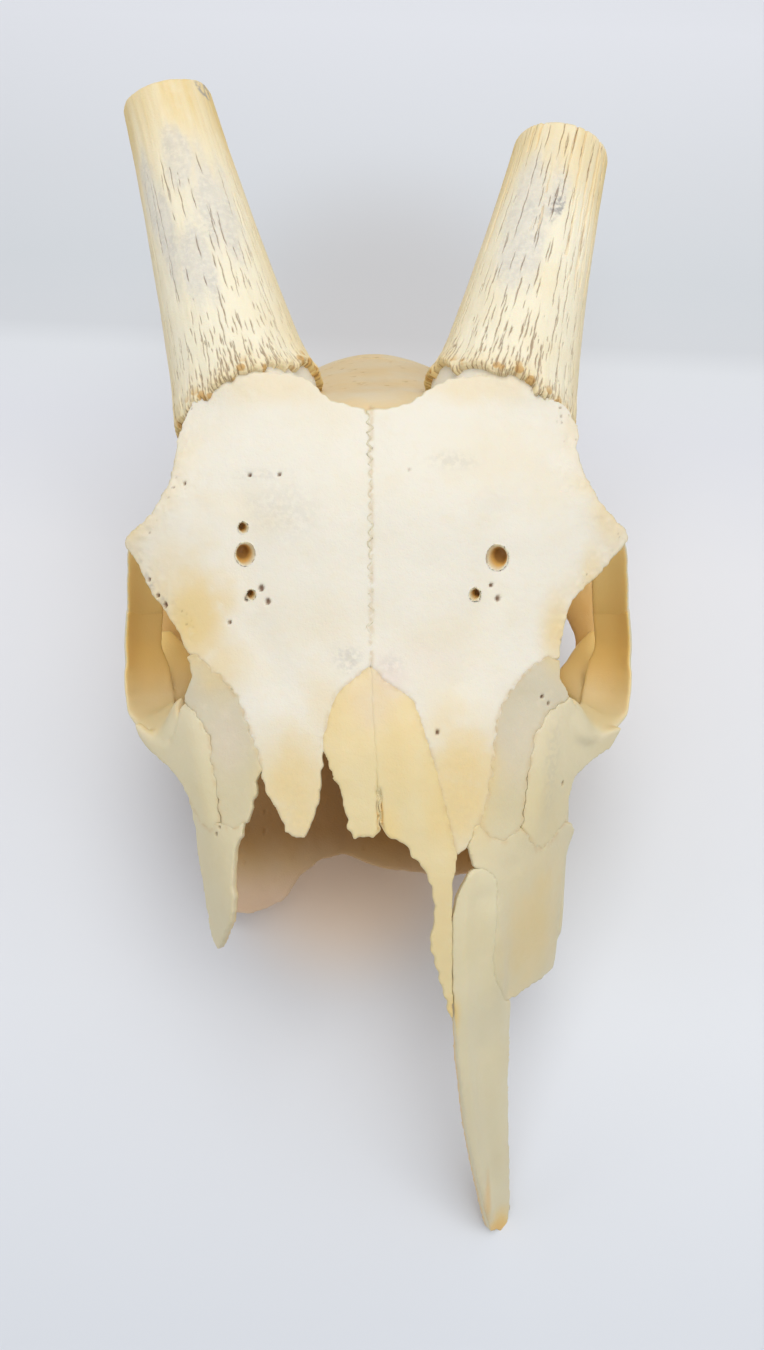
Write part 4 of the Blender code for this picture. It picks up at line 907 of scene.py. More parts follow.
class Skin:
    """Finds, for any point, the nearest place on the skin of the face."""

    def __init__(self):
        s, v = np.meshgrid(*(np.arange(*ends, 1.0) for ends in SKIN_SPAN), indexing="ij")
        self.s, self.v = s.ravel(), v.ravel()
        self.points = face_point(self.s, self.v)
        self.normals = face_normal(self.s, self.v)
        self.tree = kdtree.KDTree(len(self.points))
        for i, point in enumerate(self.points):
            self.tree.insert(point, i)
        self.tree.balance()

    def under(self, points):
        """s, v and height above the skin for each point, and the skin's normal there."""
        index = np.array([self.tree.find(point)[1] for point in points])
        height = np.sum((points - self.points[index]) * self.normals[index], axis=1)
        along = points - self.points[index] - height[:, None] * self.normals[index]
        across = np.stack([self.normals[index, 2], 0 * height, -self.normals[index, 0]], -1)
        v = self.v[index] + np.sum(along * across, axis=1)
        return self.s[index] + along[:, 1], v, height, self.normals[index]


def near_path(s, v, path):
    """Distance in (s, v) from each point to a path of straight pieces."""
    line = np.array(path, float)
    nearest = np.full(len(s), 99.0)
    for a, b in zip(line, line[1:]):
        along = b - a
        t = np.clip(((s - a[0]) * along[0] + (v - a[1]) * along[1]) / (along @ along), 0, 1)
        nearest = np.minimum(nearest, np.hypot(s - a[0] - t * along[0], v - a[1] - t * along[1]))
    return nearest


def near_lines(s, v, names):
    """Distance in (s, v) from each point to the nearest of the named lines."""
    return np.minimum.reduce([near_path(s, v, LINES[name]) for name in names])


ORBIT_MARGINS = ("supraorbital left", "orbit left", "supraorbital right", "orbit right")
SUTURES = ("frontolacrimal left", "nasofrontal left", "frontolacrimal right",
           "nasofrontal right", "jugolacrimal left", "jugolacrimal right", "jugomaxillary left",
           "jugomaxillary right", "maxillolacrimal left", "maxillolacrimal right",
           "interfrontal")


def near_horns(points):
    """How near each point is to a burr, and how surely it lies on a pedicle."""
    burr, stub = np.zeros(len(points)), np.zeros(len(points))
    for side in HORNS:
        foot, along, _, up, out = horn_axis(side)
        rel = points - foot
        t = rel @ along
        angle = np.arctan2(rel @ out, rel @ up)
        close = np.linalg.norm(rel - np.outer(t, along), axis=1) < 30
        burr = np.maximum(burr, np.exp(-((t - burr_at(angle)) / 7) ** 2) * close)
        stub = np.maximum(stub, close * rise((t + 24) / 6))
    return burr, stub


def facing_orbit(points, normals):
    """How squarely the bone at each point faces the middle of the nearer orbit, from -1 to 1."""
    centre = np.tile(ORBIT_CENTRE, (len(points), 1))
    centre[:, 0] *= np.sign(points[:, 0])
    inward = centre - points
    inward /= np.linalg.norm(inward, axis=1)[:, None]
    return np.sum(normals * inward, axis=1)


def finish_face_bone(obj, skin_of_face):
    """Carves the small relief of a bone of the face and paints its masks."""
    points, normals = read_points(obj), read_normals(obj)
    s, v, height, outward = skin_of_face.under(points)
    outer = rise((np.sum(normals * outward, axis=1) - 0.1) / 0.5) * rise((height + 2.5) / 2)
    margin = np.exp(-(near_lines(s, v, ORBIT_MARGINS) / 6.5) ** 2) * rise((s - 2) / 8)
    burr, stub = near_horns(points)
    coarse = np.clip(margin + 0.5 * burr, 0, 1)
    lumps = rough(points, 9, 21)
    swells = rough(points, 26, 25)
    grain = rough(points, 1.5, 31)
    specks = cells(points, 2.0, 41)
    pits = (rise((0.24 - specks) / 0.12) * rise((coarse * 1.3 + 0.25 * lumps - 0.55) / 0.3)
            * rise((rough(points, 5, 43) - 0.05) / 0.25))
    move = (0.15 * lumps + 0.5 * swells + 0.05 * grain
            + coarse * (0.25 * grain + 0.25 * rough(points, 3.5, 35)) - 0.4 * pits)
    for lift, width, path in RIDGES:
        move += lift * np.exp(-(near_path(s, v, path) / width) ** 2)
    pores = np.zeros(len(points))
    for at_s, at_v, radius in PORES:
        away = np.hypot(s - at_s, (v - at_v) * 1.2) + 0.2 * grain
        pores = np.maximum(pores, rise((1.35 * radius - away) / (0.7 * radius)))
    move -= 1.1 * pores
    write_points(obj, points + normals * (outer * move)[:, None])
    # The insides of the foramina are painted tan, partly their colour and partly painted shade, and
    # umber deeper down as painted shade.
    inner = np.zeros(len(points))
    for at_s, at_v, radius in FORAMINA:
        away = np.hypot(s - at_s, v - at_v)
        inner = np.maximum(inner, rise((radius * 2.2 - away) / radius) * rise((-height - 0.6) / 2))

    masks = {mask: np.zeros(len(points)) for mask in ("yellow", "tan", "grey", "pink")}
    cloud = rough(points, 6, 51)
    for mask, at_s, at_v, along_s, along_v, strength in STAINS:
        away = np.hypot((s - at_s) / along_s, (v - at_v) / along_v) + 0.35 * cloud
        masks[mask] = np.maximum(masks[mask], strength * rise((1.5 - away) / 1.3) * outer)
    masks["yellow"] += 0.35 * margin * outer * (0.6 + 0.8 * cloud)
    # The faces of the orbits' rims that turn into the orbit are painted a bright tan, partly their
    # colour and partly painted light, fading towards the front.
    facing = facing_orbit(points, normals)
    by_orbit = rise((np.abs(points[:, 0]) - 52) / 8) * rise((-points[:, 2] - 8) / 8)
    fade = 0.2 + 0.8 * rise((points[:, 1] + 13) / 24)
    # Painted shade: faces of a plate that lie below the skin, away from the orbits, are painted
    # tan.
    below = rise((-height - 1.0) / 2.5) * (1 - outer) * (1 - stub)
    masks["orbit_tan_and_light"] = 0.95 * by_orbit * fade * rise((facing + 0.1) / 0.5) * (1 - 0.9 * outer)
    masks["tan"] = np.maximum(masks["tan"], 0.7 * below * (1 - by_orbit))
    # Painted shade: faces that tilt steeply away from the face, and outer faces towards the snout,
    # are painted khaki.
    masks["side"] = np.maximum(0.65 * rise((0.93 - normals[:, 2]) / 0.6) * (1 - stub),
                               0.5 * rise((-s - 12) / 30) * outer)
    seam = np.exp(-(near_lines(s, v, SUTURES) / 0.8) ** 2) * outer
    masks["tan"] = np.maximum(masks["tan"], inner)
    # Painted shade: pores, pits and the deep insides of the foramina are painted umber.
    pit = np.maximum.reduce([pores, 0.75 * pits * outer, 0.6 * inner * rise((-height - 2) / 3)])
    mark(obj, pit=pit, line=seam, **masks)


def finish_case_bone(obj):
    """Relief and masks of a bone of the braincase."""
    points, normals = read_points(obj), read_normals(obj)
    lumps, grain = rough(points, 12, 61), rough(points, 2.2, 71)
    nape = rise((-points[:, 2] - 95) / 30)
    specks = cells(points, 4.0, 81)
    pits = rise((0.2 - specks) / 0.08) * rise((lumps + 0.1) / 0.3)
    move = 0.35 * lumps + (0.1 + 0.15 * nape) * grain - 0.5 * pits
    write_points(obj, points + normals * move[:, None])
    # Tan here is partly the bone's colour and partly painted shade: it grows towards the front,
    # under the face, and is lighter on faces turned up at the rear. Inside the nose the bone is
    # painted umber as painted shade, giving way to pink towards the palate's front edge.
    up = rise((normals[:, 2] + 0.3) / 1.1)
    shade = rise((60 - points[:, 1]) / 30)
    tan = np.clip(0.2 + 0.7 * shade + 0.25 * lumps, 0, 1) * (1 - 0.35 * up * (1 - shade))
    nose = rise((20 - points[:, 1]) / 25)
    front = rise((-51 - points[:, 1]) / 28)
    mark(obj, tan=tan * (1 - 0.8 * front), yellow=(0.35 + 0.3 * lumps) * (1 - front),
         grey=rise((lumps - 0.3) / 0.5) * 0.2, pink=front,
         pit=np.maximum(0.6 * pits * (1 - nose), 0.8 * nose * (1 - front)))


# Horn cores

def burr_at(angle):
    """Where the burr crosses the core, from its foot, by the angle from the top outward."""
    small = 0.8 * np.sin(5 * angle + 1) + 0.6 * np.sin(11 * angle)
    return -4.5 + 2.7 * np.cos(angle) - 4.5 * np.sin(angle) + small


def pedicle(side):
    """The stub of the frontal that carries a horn core, as far as under the burr."""
    angle = np.arange(BURR_CORNERS) * math.tau / BURR_CORNERS
    start = np.full_like(angle, -PEDICLE_CAP * 0.97)
    end = burr_at(angle) + 3.5
    rings = []
    for k in np.linspace(0, 1, 24):
        t = start + (end - start) * k
        rings.append(round_core(side, t, core_radius(side, t) + 0.1, angle))
    return loft(rings)


def slits(across, along, width, length, half_width, density, seed):
    """How far each point lies in one of many narrow slits, scattered on a grid of cells.

    The cells are width by length, and density is the share of them that holds a slit.
    """
    column, row = np.floor(across / width), np.floor(along / length)
    deepest = np.zeros(len(across))
    for dx in (-1, 0, 1):
        for dy in (-1, 0, 1):
            cell = np.stack([column + dx, row + dy, 0 * row], -1)
            rolls = [hashed(cell, seed + k) for k in range(5)]
            at_along = (cell[:, 1] + 0.15 + 0.7 * rolls[0]) * length
            reach = length * (0.22 + 0.4 * rolls[1])
            step = along - at_along
            at_across = (cell[:, 0] + 0.2 + 0.6 * rolls[2]) * width
            at_across += 0.08 * step * (rolls[3] - 0.5)
            at_across += 0.12 * np.sin(step * 0.9 + 9 * rolls[1])
            away = np.hypot((across - at_across) / (half_width * (0.7 + 0.6 * rolls[3])),
                            step / reach)
            deepest = np.maximum(deepest, rise((1.5 - away) / 0.8) * (rolls[4] < density))
    return deepest


def scraped_places(side, place, degrees, seed):
    """How smoothly each point of a horn core is scraped."""
    scraped = np.zeros(len(place))
    for at, turn, half_length, half_width in SCRAPES[side]:
        away = np.hypot((place[:, 2] - at) / half_length, (degrees - turn) / half_width)
        away += 0.5 * rough(place, (3, 3, 14), seed)
        scraped = np.maximum(scraped, rise((1.25 - away) / 0.8))
    return scraped


def canal_rings(side, angle, uneven):
    """Rings over the sawn end of a horn core and down its canal."""
    length, rim_radius = horn_axis(side)[2], HORNS[side][3]
    rings = []
    for depth, r in ((0.0, rim_radius - WORN_EDGE), *CANAL_PROFILE):
        r = r + (0.7 * uneven if depth > 1 else 0.15 * uneven)
        lean = SAW_SLANT[side] * np.cos(angle) * r / rim_radius
        rings.append(round_core(side, length - depth - lean, r, angle))
    return rings


def horn_core(side):
    """A sawn horn core, fluted and slit, with a ragged burr at its foot and a canal."""
    length = horn_axis(side)[2]
    seed = 100 if side == "left" else 200
    angle = np.arange(CORE_CORNERS) * math.tau / CORE_CORNERS
    signed = (angle + math.pi) % math.tau - math.pi
    around = np.stack([20 * np.cos(angle), 20 * np.sin(angle), 0 * angle], -1)
    fingers = np.clip(rough(around, 1.9, seed, 2) * 1.3 + 0.25, 0, 1)
    notch = rise((rough(around, 6.5, seed + 3, 1) - 0.15) / 0.5)
    smooth_start = burr_at(angle)
    start = smooth_start - 0.6 - 2.0 * fingers + notch
    k = np.linspace(0, 1, CORE_RINGS) ** 1.15
    sawn = length - SAW_SLANT[side] * np.cos(angle)
    t = smooth_start + (sawn - smooth_start) * k[:, None]
    t = t + (start - smooth_start) * np.exp(-(t - smooth_start) / 3.5)
    radius = core_radius(side, t) + BURR_FLARE * np.exp(-(t - start) / 6)
    radius -= 1.2 * np.exp(-((t - start) / 0.8) ** 2)

    place = np.stack([np.cos(angle) * radius, np.sin(angle) * radius, t], -1).reshape(-1, 3)
    low = np.exp(-(place[:, 2] - np.tile(smooth_start, len(t))) / (0.45 * length))
    degrees = np.degrees(np.tile(signed, len(t)))
    high = place[:, 2] / length
    scraped = scraped_places(side, place, degrees, seed + 7)
    arc = np.radians(degrees) * 20
    down = place[:, 2] - np.tile(start, len(t))
    near_burr = np.exp(-down / 7)
    top = rise((high - 0.62) / 0.2) if side == "right" else 0 * high
    open_bone = np.clip(1 - 0.4 * scraped - top, 0, 1)
    long_slits = slits(arc, down, *LONG_SLITS, 0.55 * open_bone, seed + 11)
    short_slits = slits(arc, down, *SHORT_SLITS, (0.08 + 0.42 * low**2) * open_bone, seed + 13)
    tiny_slits = slits(arc, down, *TINY_SLITS, np.clip(1.1 * near_burr, 0, 1), seed + 17)
    cut_in = np.maximum.reduce([long_slits, short_slits, tiny_slits])
    furrows = np.zeros(len(place))
    if side == "left":
        striped = rise((high - 0.35) / 0.25) * (1 - scraped)
        furrows = slits(arc, down, *FURROWS, striped * 0.9, seed + 19)
    flutes = rough(place, (3.2, 3.2, 60), seed + 23)
    grain = rough(place, (0.9, 0.9, 6), seed + 29, 2)
    knobs = rough(place, (1.8, 1.8, 4.5), seed + 31, 2)
    end_wear = rise((high - 0.985) / 0.015)
    move = (0.3 * flutes * (1 - 0.8 * scraped) + 0.06 * grain + 0.6 * near_burr * knobs
            - 0.5 * cut_in - 0.5 * furrows - 0.5 * end_wear - 0.12 * scraped)
    radius = radius + move.reshape(radius.shape)
    rings = [round_core(side, row_t, row_r, angle) for row_t, row_r in zip(t, radius)]
    rings += canal_rings(side, angle, rough(around, 3.0, seed + 37))
    obj = body(f"{side}_horn_core_fine", [loft(rings)])
    extra = len(obj.data.vertices) - len(place)

    def padded(values, end_value):
        """The values of the core's side, and one value for its sawn end and canal."""
        return np.concatenate([values, np.full(extra, end_value)])

    streaks = 0.75 + 0.5 * rough(place, (2.5, 2.5, 30), seed + 53)
    tip = 0.8 if side == "right" else 0.6
    yellow = (tip * streaks * rise((high - 0.55) / 0.4) + 0.6 * np.exp(-down / 4)
              + 0.45 * rise((np.abs(degrees) - 40) / 40) + 0.1 * flutes) * (1 - 0.6 * scraped)
    holes = rise((0.36 - cells(place, 4.6, seed + 41)) / 0.1) * rise((2.2 * near_burr - 0.8))
    saw_mark = rise((1 - np.hypot((place[:, 2] - length + 3) / 5, (degrees + 60) / 18)) / 0.3)
    mottled = rise((0.9 - np.hypot((place[:, 2] - 58) / 9, (degrees - 8) / 11)) / 0.4)
    grey = 0.4 * scraped * (0.5 + 0.6 * rough(place, (3, 3, 8), seed + 43))
    if side == "right":
        grey = np.maximum(grey, saw_mark * rise((rough(place, 1.2, seed + 47) + 0.2) / 0.4))
    else:
        grey = np.maximum(grey, mottled * rise((rough(place, 1.6, seed + 47) + 0.3) / 0.5))
    # Painted shade: the slits, the furrows and small holes near the burr, which are only painted,
    # are painted umber and tan.
    mark(obj, yellow=padded(yellow, 0.5), grey=padded(grey, 0), pink=padded(scraped, 0),
         tan=padded(0.8 * holes + 0.25 * furrows, 0.7),
         pit=padded(np.maximum(0.7 * cut_in, 0.35 * holes), 0.0))
    return obj


# Assembly

def behind_burr(side):
    """The space round a horn core from its burr backwards."""
    angle = np.arange(BURR_CORNERS) * math.tau / BURR_CORNERS
    rings = []
    for ahead in (0, 15, 30, 60):
        t = burr_at(angle) + 0.3 + ahead
        rings.append(round_core(side, t, core_radius(side, t) + 13, angle))
    return loft(rings)


def orbit_strap(stations, sign, count=36):
    """A strap of the rim of one orbit, hollowed towards the orbit's centre."""
    if sign < 0:
        stations = mirrored(stations, RIGHT_ORBIT)
    return band(stations, count, (sign * ORBIT_CENTRE[0], *ORBIT_CENTRE[1:]), SCOOP)


def frontal(side):
    sign = 1 if side == "left" else -1
    roof = body("roof", [plate(*PLATES[f"frontal_{side}"])])
    behind = body("behind the burr", [behind_burr(side)])
    cut(roof, behind)
    settle(roof)
    obj = body(f"{side}_frontal_fine", [shell_of(roof), pedicle(side),
                                        orbit_strap(POSTORBITAL_BAR, sign)])
    skin_over(obj, FACE_VOXEL)
    holes = []
    for s, v, radius in FORAMINA:
        if v * sign > 0:
            at, out = face_point(s, v)[0], face_normal(s, v)[0]
            turn = np.arange(24) * math.tau / 24
            ring = np.stack([np.cos(turn), 1.25 * np.sin(turn), 0 * turn], -1)
            lean = np.array([FORAMEN_LEAN[0] * sign, FORAMEN_LEAN[1], 0])
            rings = [at + ring * radius * wide + height * out - lean * height
                     for height, wide in FORAMEN_PROFILE]
            holes.append(body(f"foramen {s}", [loft(rings)]))
            cut(obj, holes[-1])
    soften(obj, 3)
    settle(obj)
    scrap(holes + [roof, behind])
    return obj


def soften_near(obj, centre, reach, times):
    """Softens the creases within reach of a point."""
    group = obj.vertex_groups.new(name="near")
    away = np.linalg.norm(read_points(obj) - centre, axis=1)
    for index in np.flatnonzero(away < reach):
        group.add([int(index)], float(rise(2 * (1 - away[index] / reach))), "REPLACE")
    soften(obj, times)
    obj.modifiers[-1].vertex_group = group.name
    settle(obj)


def jugal(side, lacrimal):
    sign = 1 if side == "left" else -1
    arch = JUGAL_ARCH if sign > 0 else mirrored(JUGAL_ARCH, RIGHT_ARCH)
    obj = body(f"{side}_jugal_fine", [plate(*PLATES[f"jugal_{side}"]), band(arch),
                                      orbit_strap(ORBITAL_RIM, sign, 60)])
    skin_over(obj, FACE_VOXEL)
    settle(obj)
    for (x, s, n), reach, times in SOFT_PLACES:
        soften_near(obj, (sign * x, s, n), reach, times)
    room = grown(lacrimal, 0.05)
    cut(obj, room)
    soften(obj, 2)
    settle(obj)
    scrap([room])
    return obj


def plain_plate(name, times=3):
    obj = body(f"{name}_fine", [plate(*PLATES[name])])
    skin_over(obj, FACE_VOXEL)
    soften(obj, times)
    settle(obj)
    return obj


def maxilla(neighbours):
    room = [grown(bone) for bone in neighbours]
    row = body("tooth row", [band(TOOTH_ROW, 60, square=0.7)])
    skin_over(row, FACE_VOXEL)
    for other in room:
        cut(row, other)
    sockets = []
    for s, half_breadth, half_length in TOOTH_SOCKETS:
        centre = np.interp(s, [p[0][1] for p in TOOTH_ROW], [p[0][0] for p in TOOTH_ROW])
        foot = np.interp(s, [p[0][1] for p in TOOTH_ROW], [p[0][2] - p[1][2] for p in TOOTH_ROW])
        turn = np.arange(32) * math.tau / 32
        sockets.append(body(f"socket {s}", [loft([
            np.stack([centre + scale * half_breadth * np.cos(turn),
                      s + scale * half_length * np.sin(turn), 0 * turn + foot + h], -1)
            for h, scale in SOCKET_PROFILE])]))
        cut(row, sockets[-1])
    settle(row)
    obj = body("left_maxilla_fine", [plate(*PLATES["maxilla_left"]), shell_of(row)])
    skin_over(obj, FACE_VOXEL)
    soften(obj, 4)
    settle(obj)
    scrap(room + sockets + [row])
    return obj


def case_shell():
    """The closed shape of the braincase and of the wall between the orbits."""
    rows = np.array([[*top, *foot, half, flare] for top, foot, half, flare in CASE_SECTIONS],
                    float)
    at = np.arange(len(rows), dtype=float)
    where = np.linspace(0, len(rows) - 1, 90)
    rows = np.stack([monotone(at, rows[:, i], where) for i in range(6)], -1)
    angle = np.arange(120) * math.tau / 120 + math.pi / 2
    power = 2 / 2.3
    up = np.sign(np.sin(angle)) * np.abs(np.sin(angle)) ** power
    across = np.sign(np.cos(angle)) * np.abs(np.cos(angle)) ** power
    rings = []
    for top_s, top_n, foot_s, foot_n, half, flare in rows:
        rings.append(np.stack([half * across * (1 + flare * up),
                               (top_s + foot_s) / 2 + (top_s - foot_s) / 2 * up,
                               (top_n + foot_n) / 2 + (top_n - foot_n) / 2 * up], -1))
    return loft(rings)


def build_braincase():
    """Parietal, temporals, occipital, sphenoid and palatine, parted from one shape."""
    (s, n), across, along, up = CAVITY
    cavity = body("cavity", [egg((0, s, n), (across, along, up), CASE_TILT)])
    turn = np.arange(40) * math.tau / 40
    wide, long, high = FORAMEN_RADII
    opening = body("foramen magnum", [loft([
        np.stack([wide * np.cos(turn), s + long * np.sin(turn), n + high * np.sin(turn)], -1)
        for s, n in FORAMEN_MAGNUM])])
    whole = body("case", [case_shell()])
    cut(whole, cavity)
    cut(whole, opening)
    settle(whole)
    base = shell_of(whole)
    tools = [whole, cavity, opening]

    def helper(name, shell):
        tools.append(body(name, [shell]))
        return tools[-1]

    def part(name, trims, extras, more_cuts=()):
        obj = body(f"{name}_core", [base])
        for number, shell in enumerate(trims):
            cut(obj, helper(f"{name} trim {number}", shell))
        settle(obj)
        tools.append(obj)
        fine = body(f"{name}_fine", [shell_of(obj)] + extras)
        skin_over(fine, CASE_VOXEL)
        for other in more_cuts:
            cut(fine, other)
        soften(fine, 4)
        settle(fine)
        return fine

    front, rear = block(SPHENOID_CUT, -200), block(OCCIPITAL_CUT, 200)
    bones = {"parietal": part("parietal", [front, rear, block(SQUAMOUS_CUT, -200)], [])}
    for side, sign in (("left", 1), ("right", -1)):
        middle = sorted(((BASE_HALF_WIDTH + GAP / 2) * sign, -BLOCK_HALF_WIDTH * sign))
        arch = TEMPORAL_ARCH if sign > 0 else mirrored(TEMPORAL_ARCH, RIGHT_ARCH)
        bones[f"temporal_{side}"] = part(f"temporal_{side}", [
            front, rear, block(SQUAMOUS_CUT, 200),
            prism(beyond(SPHENOID_CUT, 300, -200), *middle)],
            [band(arch), swelling(BULLA, sign)], [cavity])
    condyles = [swelling(CONDYLE, sign) for sign in (1, -1)]
    bones["occipital"] = part("occipital", [block(OCCIPITAL_CUT, -200)],
                              condyles + [band(PAROCCIPITAL), band(mirrored(PAROCCIPITAL))],
                              [opening, cavity])
    fossa = helper("nasal fossa", loft([
        np.stack([across * np.cos(turn), 0 * turn + s, n + up * np.sin(turn)], -1)
        for s, n, across, up in NASAL_FOSSA]))
    beside = [prism(beyond(SPHENOID_CUT, 200),
                    *sorted(((BASE_HALF_WIDTH - GAP / 2) * sign, BLOCK_HALF_WIDTH * sign)))
              for sign in (1, -1)]
    above = prism(quadrant(SPHENOID_CUT, SQUAMOUS_CUT), -BLOCK_HALF_WIDTH, BLOCK_HALF_WIDTH)
    room = [swelling(CONDYLE, sign, CONDYLE_ROOM) for sign in (1, -1)]
    bones["sphenoid"] = part("sphenoid", [rear, above] + beside + room,
                             [band(PTERYGOID), band(mirrored(PTERYGOID))], [fossa])
    palatine = body("palatine_fine", [band(PALATINE, square=0.45)])
    skin_over(palatine, CASE_VOXEL)
    settle(palatine)
    bones["palatine"] = palatine
    scrap(tools)
    return bones


def build_bones():
    bones = {}
    for side in ("left", "right"):
        bones[f"frontal_{side}"] = frontal(side)
        bones[f"horn_core_{side}"] = horn_core(side)
        bones[f"lacrimal_{side}"] = plain_plate(f"lacrimal_{side}")
        bones[f"nasal_{side}"] = plain_plate(f"nasal_{side}", 1)
        bones[f"jugal_{side}"] = jugal(side, bones[f"lacrimal_{side}"])
    bones["maxilla_right"] = plain_plate("maxilla_right")
    bones["premaxilla_left"] = plain_plate("premaxilla_left")
    bones["maxilla_left"] = maxilla([bones["jugal_left"], bones["lacrimal_left"],
                                     bones["premaxilla_left"]])
    skin_of_face = Skin()
    for name, obj in bones.items():
        if not name.startswith("horn"):
            finish_face_bone(obj, skin_of_face)
    case = build_braincase()
    for obj in case.values():
        finish_case_bone(obj)
    return {**bones, **case}


# Materials

def srgb(*values):
    """A colour given as it looks on a screen, from 0 to 255, for a shader socket."""
    linear = [(v / 255 / 12.92 if v <= 10.3 else ((v / 255 + 0.055) / 1.055) ** 2.4)
              for v in values]
    return (*linear, 1)


IVORY = srgb(231, 225, 209)
CREAM = srgb(229, 217, 189)
YELLOW = srgb(226, 198, 132)
# The next four colours also carry painted light and shade: khaki on steep faces, tan under plates
# and in hollows, bright tan inside the orbits, umber in pits and inside the nose.
SIDE_SHADE = srgb(210, 197, 152)
TAN_AND_SHADE = srgb(226, 180, 102)
ORBIT_TAN_AND_LIGHT = srgb(252, 214, 132)
UMBER_SHADE = srgb(110, 62, 20)
GREY = srgb(150, 148, 146)
SUTURE = srgb(206, 176, 128)
ROSE = srgb(226, 208, 196)
LAVENDER = srgb(224, 218, 203)

# For each kind of bone: base colour, its second colour, the colour of its pink mask, how
# strong the bump is, and roughness.
KINDS = {
    "frontal": (IVORY, CREAM, ROSE, 0.25, 0.48),
    "horn_core": (srgb(239, 231, 205), srgb(231, 215, 176), LAVENDER, 0.5, 0.62),
    "nasal": (srgb(233, 212, 162), srgb(222, 190, 128), ROSE, 0.25, 0.45),
    "lacrimal": (srgb(207, 197, 171), srgb(202, 187, 152), ROSE, 0.25, 0.46),
    "jugal": (srgb(223, 211, 177), srgb(219, 197, 148), ROSE, 0.25, 0.46),
    "maxilla": (srgb(220, 209, 181), srgb(207, 188, 146), ROSE, 0.25, 0.46),
    "premaxilla": (srgb(226, 217, 190), srgb(210, 195, 155), ROSE, 0.2, 0.42),
    "case": (srgb(217, 205, 180), srgb(204, 180, 138), srgb(218, 190, 166), 0.35, 0.55),
}


class Wiring:
    """The node tree of one material."""

    def __init__(self, name, roughness):
        self.material = bpy.data.materials.new(name)
        self.material.use_nodes = True
        self.nodes = self.material.node_tree.nodes
        self.links = self.material.node_tree.links
        self.shader = self.nodes["Principled BSDF"].inputs
        self.shader["Roughness"].default_value = roughness
        self.place = self.nodes.new("ShaderNodeTexCoord").outputs["Object"]

    def feed(self, socket, value):
        """Gives a socket another node's output or a plain value."""
        if isinstance(value, bpy.types.NodeSocket):
            self.links.new(value, socket)
        else:
            socket.default_value = value

    def add(self, kind, inputs, operation=None):
        """A node of a kind with its inputs fed."""
        node = self.nodes.new(f"ShaderNode{kind}")
        if operation:
            node.operation = operation
        for name, value in inputs.items():
            self.feed(node.inputs[name], value)
        return node

    def wave(self, size, detail=4.0):
        """Noise with lumps of a size in millimetres."""
        return self.add("TexNoise", {"Scale": 1 / (size * MM), "Detail": detail,
                                     "Vector": self.place}).outputs["Fac"]

    def ramp(self, value, low, high, end=1.0, start=0.0, kind="SMOOTHSTEP"):
        """A value that goes from start to end while another goes from low to high."""
        node = self.add("MapRange", {"From Min": low, "From Max": high, "To Min": start,
                                     "To Max": end, "Value": value})
        node.interpolation_type = kind
        return node.outputs["Result"]

    def times(self, a, b):
        return self.add("Math", {0: a, 1: b}, "MULTIPLY").outputs[0]

    def blend(self, colour, other, share):
        node = self.nodes.new("ShaderNodeMix")
        node.data_type = "RGBA"
        for index, value in ((0, share), (6, colour), (7, other)):
            self.feed(node.inputs[index], value)
        return node.outputs[2]

    def mask(self, name):
        node = self.nodes.new("ShaderNodeAttribute")
        node.attribute_name = name
        return node.outputs["Fac"]


def bone_material(kind):
    base, second, pink, bump, roughness = KINDS[kind]
    net = Wiring(f"{kind}_bone", roughness)
    net.shader["Specular IOR Level"].default_value = 0.35
    net.shader["Subsurface Weight"].default_value = 0.12
    net.shader["Subsurface Radius"].default_value = (1.0, 0.55, 0.25)
    net.shader["Subsurface Scale"].default_value = 0.003

    mask, ramp, times, wave = net.mask, net.ramp, net.times, net.wave
    # Painted light and shade among these layers: khaki on steep faces, tan under plates and in
    # hollows, bright tan inside the orbits, umber in pits and inside the nose.
    layers = (
        (second, ramp(wave(22), 0.42, 0.78, 0.55)),
        (CREAM, ramp(wave(3.5), 0.5, 0.8, 0.3)),
        (SIDE_SHADE, mask("side")),
        (pink, times(mask("pink"), 0.85)),
        (YELLOW, times(mask("yellow"), ramp(wave(7), 0.0, 0.45))),
        (TAN_AND_SHADE, mask("tan")),
        (ORBIT_TAN_AND_LIGHT, times(mask("orbit_tan_and_light"), ramp(wave(9), 0.0, 0.3))),
        (GREY, times(mask("grey"), ramp(wave(1.6), 0.35, 0.62, 0.8))),
        (SUTURE, times(mask("line"), ramp(wave(2.2), 0.35, 0.6, 0.45))),
        (UMBER_SHADE, times(mask("pit"), 0.85)),
    )
    colour = base
    for over, share in layers:
        colour = net.blend(colour, over, share)
    net.feed(net.shader["Base Color"], colour)

    pores = net.add("TexVoronoi", {"Scale": 1 / (1.1 * MM), "Vector": net.place})
    relief = net.add("Math", {0: wave(0.7, 3.0),
                              1: ramp(pores.outputs["Distance"], 0.0, 0.28, 0.5)}, "ADD")
    lit = net.add("Bump", {"Strength": bump, "Distance": 0.25 * MM, "Height": relief.outputs[0]})
    net.feed(net.shader["Normal"], lit.outputs["Normal"])
    return net.material


# Stage

FLOOR_SIZE = 3.0
PAINTED_FOLD = 0.224           # where a fold of the flat sheet behind the skull is painted, as a change of shade, in metres along Y
PAINTED_FOLD_SLANT = -0.062    # how far the painted fold moves along Y for each metre along X
# Painted light and shade of the flat sheet along Y, in metres before and behind the painted fold.
SHEET = ((-0.46, (214, 218, 224)), (-0.33, (226, 229, 234)), (-0.13, (230, 231, 235)),
         (-0.055, (222, 224, 230)), (-0.012, (221, 224, 228)), (0.004, (210, 213, 217)),
         (0.05, (209, 213, 217)), (0.12, (215, 218, 222)), (0.26, (228, 230, 235)))
